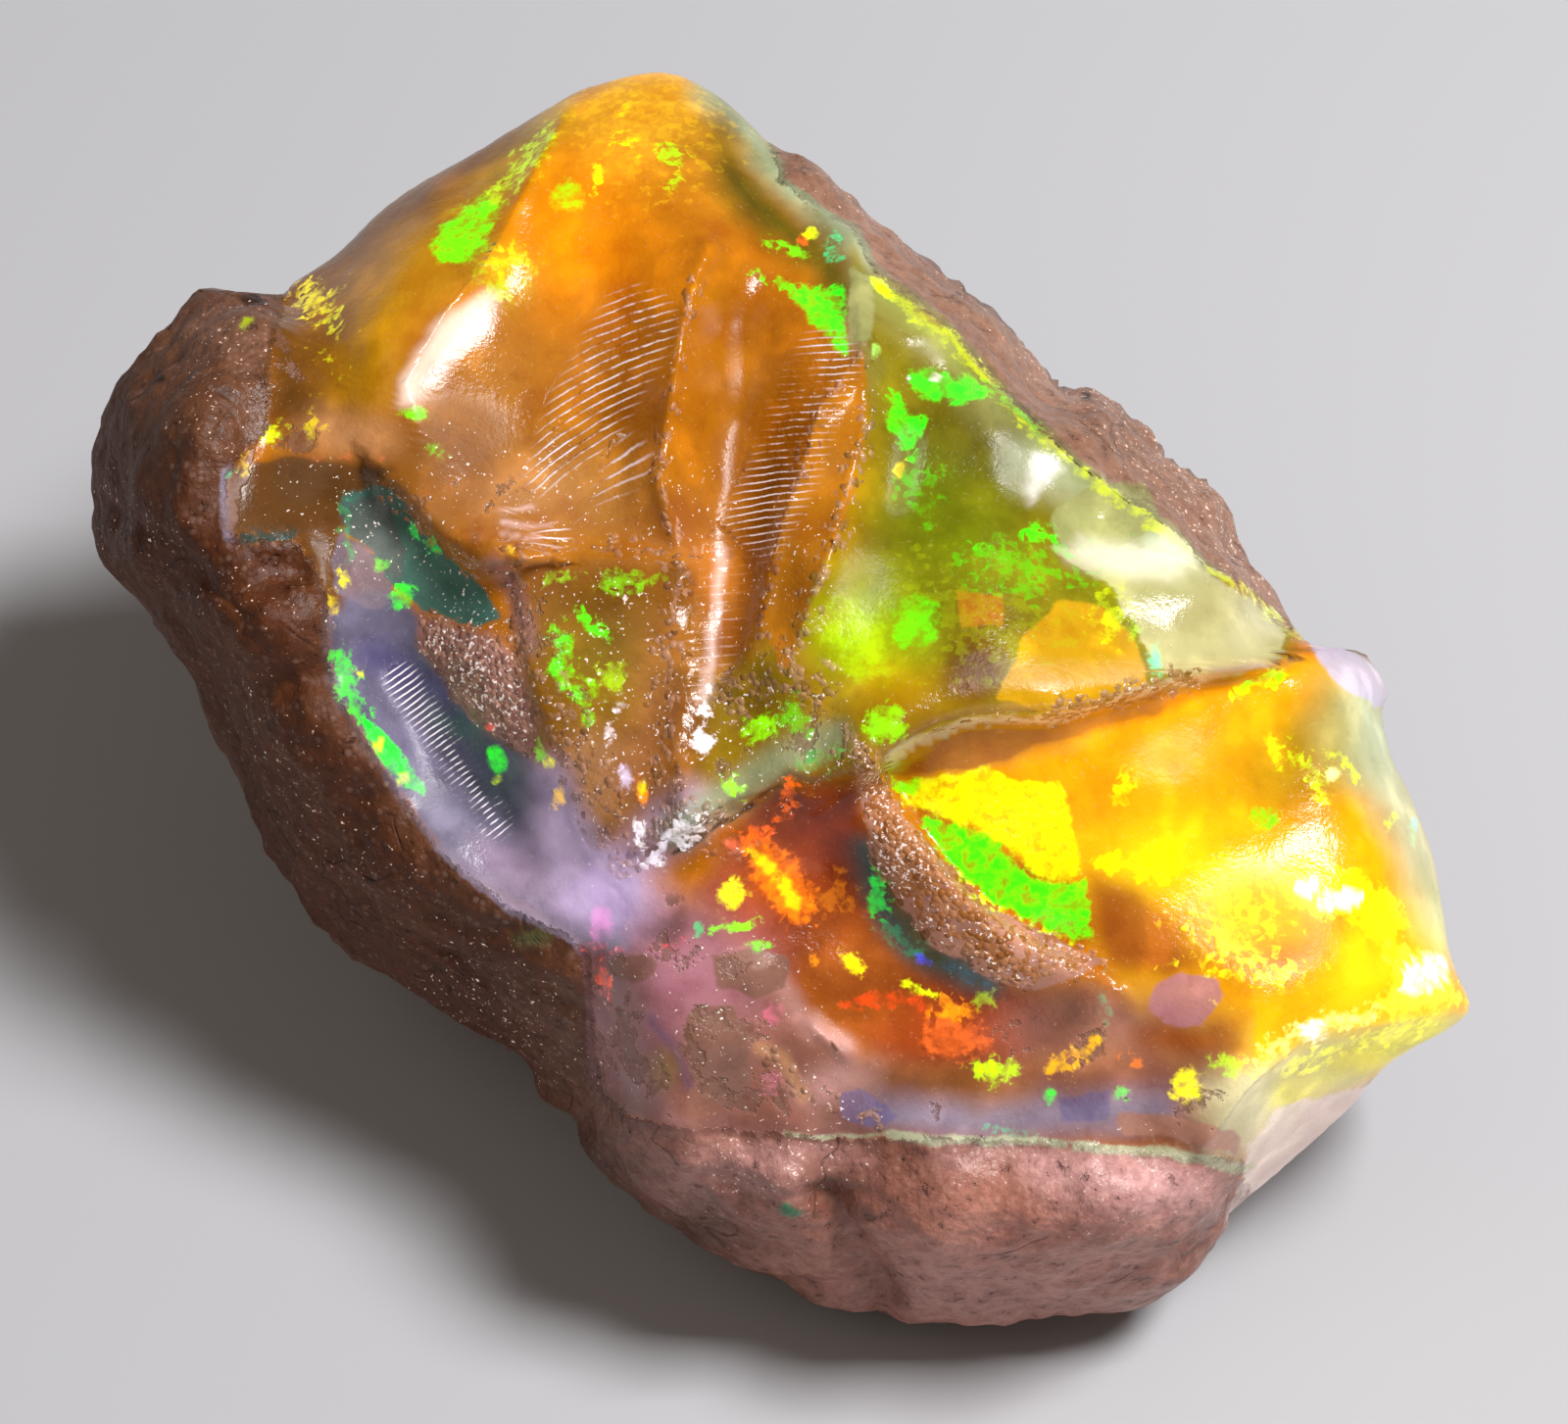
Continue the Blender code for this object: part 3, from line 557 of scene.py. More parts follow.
# Soft body colour of each part of the stone, later ones over earlier ones:
# shape, colour, strength and softness
TINTS = (
    # rind
    # the rind's left side, turned from the light: dark brown, deepened by painted shade
    (area((60, 240), (300, 240), (330, 560), (340, 700), (460, 900), (600, 980), (600, 1180),
          (500, 1150), (60, 900)), "rind_dark_shade", 1.0, 60),
    (blob(210, 400, 110, 110), "rind_brown", 0.9, 60),
    (blob(205, 486, 50, 36), "rind_dark_shade", 0.55, 40),
    (band(40, (180, 330), (240, 330), (256, 350)), "rind_rose", 0.4, 30),
    (band(40, (230, 610), (290, 770), (350, 880), (440, 950)), "rind_umber", 0.6, 40),
    (area((500, 990), (600, 990), (604, 1110), (640, 1160), (610, 1180), (560, 1120)),
     "rind_brown", 0.9, 24),
    (band(8, (600, 985), (604, 1040), (610, 1110)), "shadow", 0.6, 8),
    (area((590, 1120), (740, 1150), (1270, 1170), (1320, 1250), (1200, 1400), (800, 1400),
          (590, 1230)), "rind_pink", 1.0, 30),
    # painted highlight and pink sheen on the top of the lower rind's bulge
    (area((1050, 1196), (1100, 1180), (1190, 1184), (1236, 1204), (1220, 1238), (1150, 1250),
          (1080, 1236)), "rind_blush_sheen", 1.0, 30),
    (band(18, (960, 1180), (1020, 1178), (1080, 1186)), "rind_blush_sheen", 0.45, 24),
    (blob(780, 1190, 80, 30, 10), "rind_blush_sheen", 0.5, 40),
    # painted shade in the lower fold and along the lower left edge
    (band(26, (850, 1210), (868, 1270), (900, 1330)), "rind_dark_shade", 0.7, 30),
    (band(44, (600, 1180), (650, 1250), (740, 1320), (860, 1370)), "rind_shadow", 0.8, 40),
    (blob(700, 1262, 40, 26, 30), "rind_shadow", 0.6, 30),
    # painted pink sheen on the lower bulge
    (blob(1020, 1310, 130, 46), "rind_blush_sheen", 0.35, 50),
    # painted shade at the left end of the lower bulge
    (band(24, (620, 1190), (700, 1230), (760, 1270)), "rind_dark_shade", 0.3, 40),
    # painted highlight on the lower bulge
    (blob(1050, 1254, 110, 40), "rind_highlight", 0.5, 50),
    (blob(840, 1280, 60, 30, 20), "rind_highlight", 0.12, 40),
    (blob(545, 957, 18, 8, 10), "rind_moss", 0.8, 8),
    (area((780, 100), (1000, 230), (1400, 600), (1340, 680), (1200, 560), (880, 290), (780, 190)),
     "rind_rose", 0.9, 20),
    # upper left slope
    (area((292, 301), (340, 220), (600, 60), (576, 113), (530, 205), (493, 271), (411, 320),
          (390, 400), (330, 440), (272, 441)), "brown_amber", 0.9, 24),
    (area((400, 240), (450, 200), (560, 120), (576, 120), (530, 205), (493, 271), (411, 320),
          (390, 400), (350, 400), (345, 320)), "honey", 1.0, 40),
    (band(44, (430, 270), (400, 320), (385, 370), (365, 410)), "gold", 0.45, 40),
    (band(22, (300, 290), (380, 225), (480, 165), (560, 112)), "toffee", 0.7, 20),
    (area((262, 300), (300, 300), (330, 420), (275, 430)), "burnt_honey", 0.9, 30),
    # apex
    (area((600, 60), (740, 50), (790, 140), (720, 210), (620, 210), (575, 130)),
     "apex_gold", 0.9, 50),
    (blob(607, 240, 70, 70), "orange_glow", 1.0, 90),
    (blob(690, 215, 60, 50), "amber", 0.7, 50),
    (band(34, (725, 92), (764, 130), (790, 175), (840, 215), (883, 262), (886, 345)),
     "edge_green", 0.95, 18),
    (band(40, (733, 140), (752, 189), (790, 226), (840, 262), (862, 300)),
     "dark_olive", 0.95, 24),
    (blob(712, 150, 26, 30), "deep_amber", 0.6, 40),
    # left bowl
    (area((430, 390), (520, 400), (640, 470), (675, 520), (516, 550), (446, 545), (400, 490)),
     "deep_amber", 0.8, 70),
    (blob(500, 370, 60, 60), "caramel", 0.6, 90),
    (blob(600, 500, 70, 50), "honey", 0.4, 50),
    (blob(455, 470, 60, 50), "toffee", 0.7, 40),
    (band(30, (290, 455), (350, 466), (430, 470)), "brown_amber", 0.7, 20),
    # right trough
    (area((735, 290), (800, 330), (820, 400), (790, 520), (755, 640), (700, 640), (690, 520),
          (700, 400)), "deep_amber", 0.8, 60),
    (band(60, (690, 540), (720, 620), (700, 720)), "salmon_brown", 0.6, 50),
    (band(20, (790, 480), (775, 560), (770, 640)), "toffee", 0.8, 20),
    # right face
    (area((868, 250), (900, 283), (961, 331), (1042, 420), (1109, 479), (1200, 548), (1321, 643),
          (1317, 671), (1171, 707), (1074, 732), (956, 746), (903, 782), (850, 740), (821, 638),
          (854, 542), (884, 426), (878, 363)), "olive", 1.0, 12),
    (band(22, (905, 300), (961, 345), (1042, 432), (1109, 491), (1196, 556)),
     "chartreuse", 0.5, 14),
    (band(40, (868, 470), (860, 560), (840, 640)), "honey", 0.7, 34),
    (blob(1000, 460, 66, 60, 20), "dark_olive", 0.95, 50),
    (blob(965, 540, 70, 60), "moss", 0.8, 50),
    (blob(880, 650, 60, 60), "chartreuse", 0.7, 50),
    (blob(900, 710, 75, 34), "honey", 0.7, 30),
    (band(34, (900, 300), (960, 350), (1020, 420)), "sage", 0.6, 30),
    (band(40, (1050, 470), (1110, 500), (1211, 572)), "pale_green", 0.7, 30),
    (blob(1160, 590, 50, 30, 20), "chartreuse", 0.35, 40),
    (blob(992, 686, 30, 30, 30), "toffee", 0.9, 16),
    (blob(1000, 640, 34, 26), "toffee", 0.5, 20),
    # ledge and bench
    (area((906, 793), (1003, 782), (1074, 757), (1181, 729), (1317, 671), (1440, 680),
          (1560, 1030), (1424, 1080), (1340, 1060), (1280, 1100), (1230, 1150), (1130, 990),
          (1113, 965), (1107, 906), (1045, 880)), "gold", 1.0, 8),
    (blob(1200, 870, 60, 40), "lemon", 0.5, 50),
    (blob(1330, 770, 70, 46, 20), "olive", 0.7, 40),
    (blob(1384, 744, 42, 56, 20), "sage", 0.9, 30),
    (area((1110, 893), (1150, 900), (1200, 930), (1226, 980), (1200, 1000), (1130, 990),
          (1116, 960)), "rust", 0.95, 18),
    (blob(1285, 990, 50, 22), "ochre", 0.5, 24),
    (blob(1376, 1004, 40, 24), "lemon", 0.6, 24),
    (blob(1140, 1050, 110, 34, -8), "plum_brown", 0.95, 30),
    (blob(1212, 1062, 44, 16, -6), "rust", 0.9, 14),
    (area((1380, 700), (1430, 725), (1460, 820), (1500, 940), (1480, 985), (1445, 935),
          (1425, 870), (1385, 790)), "pale_green", 0.85, 24),
    # facets under the crest
    (area((1225, 1100), (1280, 1090), (1340, 1060), (1520, 1030), (1424, 1080), (1397, 1106),
          (1306, 1129), (1277, 1164), (1265, 1185), (1225, 1170)), "cream", 0.8, 12),
    (band(34, (1312, 1120), (1380, 1086), (1460, 1050)), "lemon", 0.8, 16),
    # fire zone
    (area((760, 830), (801, 793), (874, 793), (885, 850), (900, 900), (960, 960), (1016, 1003),
          (1060, 1020), (1100, 1060), (1000, 1095), (900, 1085), (820, 1020), (760, 965),
          (715, 910)), "brick", 0.95, 14),
    (blob(860, 1010, 90, 50, 30), "rust", 0.8, 40),
    (blob(842, 858, 40, 46), "deep_red", 0.95, 30),
    (band(30, (885, 870), (900, 920), (930, 965), (1010, 1005)), "slate", 0.95, 16),
    (band(14, (905, 905), (930, 950), (955, 978)), "dark_olive", 0.7, 12),
    # transitional zone above the lower rind
    (area((600, 960), (640, 930), (720, 920), (790, 1000), (850, 1070), (960, 1092), (1240, 1080),
          (1262, 1180), (1033, 1164), (869, 1164), (740, 1153), (605, 1120)),
     "plum_brown", 0.9, 24),
    (blob(690, 990, 80, 60), "mauve", 0.85, 50),
    (blob(640, 1070, 40, 60), "mauve", 0.6, 40),
    (blob(1000, 1116, 40, 20), "ochre", 0.6, 24),
    (blob(1100, 1060, 40, 20), "peach", 0.4, 24),
    (blob(1064, 1053, 50, 30), "plum_brown", 0.8, 30),
    (blob(920, 1100, 80, 18), "toffee", 0.6, 24),
    (band(34, (900, 1135), (1000, 1145), (1180, 1130)), "lilac_grey", 0.8, 20),
    (blob(1260, 1130, 40, 40), "cream", 0.6, 24),
    (band(26, (600, 1112), (700, 1146), (800, 1152), (870, 1156)), "plum_brown", 1.0, 12),
    (area((600, 985), (645, 980), (664, 1010), (656, 1060), (676, 1110), (690, 1146), (612, 1110),
          (604, 1050)), "sand_rose", 0.8, 20),
    (band(9, (668, 1040), (690, 1070), (702, 1105)), "dark_violet", 0.45, 6),
    (band(22, (798, 1006), (818, 1040), (860, 1070)), "blush", 0.8, 12),
    (blob(850, 1106, 42, 22, 10), "blush", 0.9, 16),
    (band(11, (775, 1066), (800, 1082), (822, 1118)), "peach", 0.8, 8),
    (blob(676, 1090, 14, 18), "olive", 0.5, 14),
    (area((655, 955), (694, 924), (700, 940), (690, 965)), "shadow", 0.5, 8),
    # middle
    (area((526, 578), (698, 568), (740, 700), (735, 760), (711, 846), (650, 850), (600, 860),
          (560, 800), (545, 733), (530, 640)), "brown_amber", 0.85, 20),
    (band(40, (660, 660), (665, 730), (655, 800)), "salmon_brown", 0.85, 34),
    (blob(610, 680, 50, 60), "moss", 0.35, 50),
    (blob(600, 800, 40, 50), "peach", 0.5, 30),
    (band(44, (350, 640), (375, 720), (420, 790)), "slate", 0.55, 20),
    (area((725, 700), (790, 640), (850, 730), (903, 782), (874, 793), (801, 793), (744, 821),
          (700, 850), (720, 760)), "olive", 0.75, 20),
    (band(44, (705, 825), (655, 868), (615, 905)), "lilac", 0.7, 24),
    (band(34, (690, 850), (740, 815), (790, 780), (850, 752)), "edge_green", 0.7, 14),
    (band(16, (893, 778), (956, 738), (1034, 724), (1110, 712)), "caramel", 0.6, 12),
    # left pockets
    (area((332, 606), (400, 600), (433, 629), (427, 660), (449, 688), (503, 747), (542, 772),
          (560, 800), (600, 860), (650, 900), (632, 958), (585, 958), (455, 873), (424, 831),
          (390, 783), (362, 741), (343, 710), (334, 665)), "violet_grey", 1.0, 8),
    (band(30, (385, 670), (440, 700), (500, 780)), "dark_violet", 0.8, 24),
    (band(34, (420, 800), (470, 856), (540, 910)), "lilac_grey", 0.5, 26),
    (band(50, (500, 880), (560, 905), (610, 930)), "milk", 0.8, 24),
    (band(50, (556, 800), (580, 850), (610, 900)), "lilac", 0.8, 20),
    (blob(515, 790, 26, 40, 20), "slate", 0.8, 24),
    (band(18, (452, 872), (520, 926), (585, 960), (630, 960)), "lilac_grey", 0.8, 8),
    (blob(618, 915, 44, 36), "lilac", 1.0, 34),
    (blob(356, 440, 44, 20, -8), "peach", 0.6, 20),
    (band(26, (290, 500), (340, 490), (395, 492), (440, 540)), "brown_amber", 0.9, 16),
    (band(12, (232, 482), (230, 515), (233, 545)), "lilac_grey", 0.9, 6),
    (area((296, 548), (345, 540), (356, 570), (350, 622), (332, 622), (318, 572)),
     "matrix", 0.95, 8),
    (area((236, 480), (300, 466), (350, 470), (400, 480), (380, 500), (346, 546), (300, 552),
          (238, 546)), "matrix", 0.95, 8),
    # painted sheen: a pink sheen over the lower left of the left bowl
    (blob(545, 505, 70, 36), "peach", 0.45, 50),
    (SAND_POCKET, "sand_rose", 0.9, 10),
    (band(18, (505, 578), (532, 612), (540, 660)), "sand_rose", 0.8, 10),
)

# Patches of body colour with a crisp, slightly ragged edge: shape, colour, strength
PATCHES = (
    (area((881, 363), (864, 380), (838, 416), (812, 490), (798, 535), (775, 635), (800, 690),
          (821, 638), (854, 542), (878, 470), (884, 426)), "ochre", 1.0),
    (area((1082, 610), (1048, 650), (1014, 714), (1074, 728), (1171, 700), (1160, 650),
          (1124, 618)), "facet_gold", 1.0),
    (area((1070, 560), (1110, 556), (1160, 556), (1225, 580), (1270, 606), (1312, 650),
          (1306, 676), (1225, 690), (1185, 690), (1160, 640), (1130, 600)), "cream", 0.55),
    (blob(1128, 527, 56, 34, 18), "sage", 1.0),
    (area((868, 272), (893, 280), (888, 345), (866, 352)), "sage", 0.8),
    (area((976, 604), (1024, 604), (1022, 640), (978, 640)), "ochre", 0.9),
    # the step face under the ledge: amber, made darker as painted shade
    (area((903, 782), (956, 746), (1074, 735), (1181, 712), (1200, 708), (1181, 729), (1131, 739),
          (1074, 757), (1003, 782), (906, 793)), "ledge_amber", 0.9),
    (band(9, (904, 778), (940, 755), (985, 738), (1074, 732), (1130, 717), (1200, 696),
          (1290, 678)), "rim_pale", 0.8),
    (band(5, (686, 872), (712, 856), (748, 832), (796, 800)), "shadow", 0.9),
    (band(7, (452, 890), (486, 918), (524, 942)), "shadow", 0.6),
    (area((240, 476), (300, 468), (350, 474), (398, 482), (352, 500), (346, 544), (300, 540),
          (244, 536)), "matrix", 0.85),
    (area((1334, 655), (1350, 645), (1420, 660), (1440, 725), (1405, 722), (1372, 700),
          (1350, 680)), "white", 0.85),
    (area((1176, 1008), (1206, 992), (1240, 998), (1250, 1018), (1228, 1044), (1192, 1046),
          (1170, 1030)), "mauve", 0.75),
    (area((1277, 1164), (1306, 1129), (1397, 1106), (1480, 1090), (1341, 1260), (1250, 1260),
          (1265, 1199)), "shell", 0.8),
    # dark pits: painted shade in small hollows
    (area((244, 303), (270, 304), (278, 313), (262, 318), (248, 312)), "pit", 0.9),
    (blob(160, 386, 9, 6, 20), "pit", 0.8),
    (blob(375, 898, 6, 5), "pit", 0.8),
    (blob(807, 1238, 14, 6, -10), "green_stain", 0.9),
    (blob(254, 334, 6, 7), "lime", 0.9),
    # two more dark pits: painted shade
    (blob(1303, 679, 5, 4), "pit", 0.9),
    (blob(1109, 406, 5, 4), "pit", 0.9),
    (area((344, 545), (360, 552), (384, 566), (402, 596), (400, 618), (372, 622), (346, 606),
          (338, 574)), "mauve_grey", 0.85),
    (area((379, 494), (407, 503), (426, 536), (445, 552), (470, 577), (495, 605), (514, 630),
          (489, 639), (457, 633), (436, 624), (414, 605), (395, 586), (382, 558), (350, 545),
          (342, 520), (352, 499)), "forest", 1.0),
    (area((344, 518), (370, 502), (392, 510), (402, 540), (414, 570), (410, 592), (390, 578),
          (374, 556), (352, 546)), "mist", 0.95),
    (band(9, (248, 548), (298, 547)), "pine", 1.0),
    (area((700, 1040), (716, 1024), (748, 1028), (764, 1060), (768, 1110), (745, 1132),
          (715, 1120), (700, 1080)), "sand", 0.95),
    (area((728, 976), (770, 968), (808, 978), (800, 1008), (770, 1018), (735, 1006)),
     "sand", 0.95),
    (blob(647, 988, 24, 15), "sand", 0.8),
    (area((856, 1120), (880, 1112), (916, 1138), (900, 1150), (862, 1144)), "violet", 0.6),
    (area((1080, 1118), (1134, 1112), (1136, 1144), (1084, 1146)), "violet", 0.55),
    (band(22, (1150, 1146), (1200, 1152), (1258, 1166)), "pink_sand", 0.9),
    (band(4, (800, 1156), (850, 1160), (905, 1160)), "pale_green", 0.7),
    (band(9, (905, 1160), (960, 1162), (1030, 1163), (1086, 1168)), "pale_green", 0.8),
    (band(11, (1100, 1170), (1180, 1176), (1224, 1181), (1270, 1193)), "pale_green", 0.8),
    (area((898, 800), (919, 830), (957, 874), (1016, 930), (1075, 956), (1130, 982), (1098, 999),
          (1051, 1012), (1016, 1002), (966, 973), (937, 950), (914, 912), (893, 886), (887, 848),
          (875, 789), (880, 760)), "pink_sand", 1.0),
)

# Painted light over the body colour: soft coloured glow that stands in for light inside
# the glass, and painted highlights and sheen: shape, colour, strength and softness
GLOWS_AND_HIGHLIGHTS = (
    (blob(600, 240, 60, 60), "#FF8A00", 0.22, 80),
    (band(40, (430, 270), (400, 320), (380, 380)), "#F0B000", 0.10, 40),
    (band(22, (500, 193), (535, 160), (575, 115)), "#A0C010", 0.22, 24),
    (blob(517, 280, 26, 30, 20), "#B8D020", 0.30, 24),
    (blob(885, 655, 42, 40), "#A8D000", 0.20, 40),
    (blob(935, 640, 40, 40), "#60B000", 0.20, 40),
    (blob(1010, 570, 70, 40), "#50B000", 0.14, 50),
    (blob(940, 500, 30, 50), "#48A800", 0.12, 40),
    (blob(1170, 760, 120, 50), "#FF9C00", 0.30, 60),
    (blob(1270, 720, 80, 30, -10), "#FFB000", 0.25, 40),
    (blob(1190, 880, 60, 30), "#FFE000", 0.35, 40),
    (blob(1300, 900, 100, 50), "#F0E000", 0.30, 50),
    (blob(1420, 960, 50, 50), "#FFFF20", 0.35, 50),
    (band(40, (1300, 1070), (1400, 1040), (1490, 1026)), "#F0F030", 0.30, 30),
    (blob(780, 895, 50, 50), "#F06008", 0.25, 40),
    (blob(960, 1050, 60, 30), "#F05010", 0.22, 30),
    (blob(605, 670, 50, 50), "#88A008", 0.08, 40),
    # painted highlight: the big white highlight on the left wall of the left bowl
    (area((408, 412), (412, 385), (430, 352), (462, 318), (498, 296), (510, 300), (500, 328),
          (470, 362), (440, 392), (425, 412)), "#FFF8F4", 0.8, 10),
    # painted sheen: a pinkish sheen on the lower left of the left bowl
    (band(40, (440, 490), (520, 490), (590, 500)), "#D0987C", 0.08, 50),
    (blob(660, 96, 50, 34), "#F0B000", 0.14, 40),
    (blob(1290, 1140, 30, 40, 30), "#E0DCC0", 0.16, 20),
    (blob(1370, 1125, 60, 30, -20), "#E8D0D0", 0.16, 20),
    # painted highlights on the hackle strokes of the pocket
    (band(10, (390, 690), (440, 770), (520, 850)), "#B8A8D8", 0.15, 10),
    (blob(618, 912, 36, 34), "#C8A8D8", 0.50, 30),
    (band(34, (556, 850), (585, 885), (618, 915)), "#C0A8C4", 0.40, 24),
    (blob(1395, 1082, 40, 14, -10), "#F0D020", 0.25, 16),
    # painted highlights: white glossy spots on the right face, on both sides of its small scoop
    (area((1085, 560), (1100, 548), (1130, 554), (1162, 556), (1190, 540), (1216, 560),
          (1224, 574), (1190, 590), (1150, 588), (1110, 580), (1090, 572)), "#FFF4FC", 0.50, 12),
    (area((1050, 480), (1058, 462), (1070, 466), (1080, 478), (1066, 490), (1052, 514),
          (1045, 500)), "#FFF8FF", 0.9, 8),
    # painted highlights: the streak down the right trough, and white strokes below the left bowl
    (band(8, (736, 558), (730, 620), (724, 690), (717, 714)), "#FFF0F4", 0.7, 6),
    (band(3, (512, 522), (528, 521), (546, 517)), "#F4E4F4", 0.6, 3),
    (band(3, (513, 531), (530, 535), (562, 537)), "#F4E4F4", 0.6, 3),
    (band(3, (514, 541), (530, 547), (552, 549)), "#F4E4F4", 0.6, 3),
    (blob(1280, 640, 30, 24, 20), "#E8E8DC", 0.20, 20),
    (band(30, (400, 690), (470, 790), (560, 880)), "#685888", 0.06, 30),
    (blob(1230, 640, 60, 30, 10), "#E0E0A0", 0.15, 30),
)

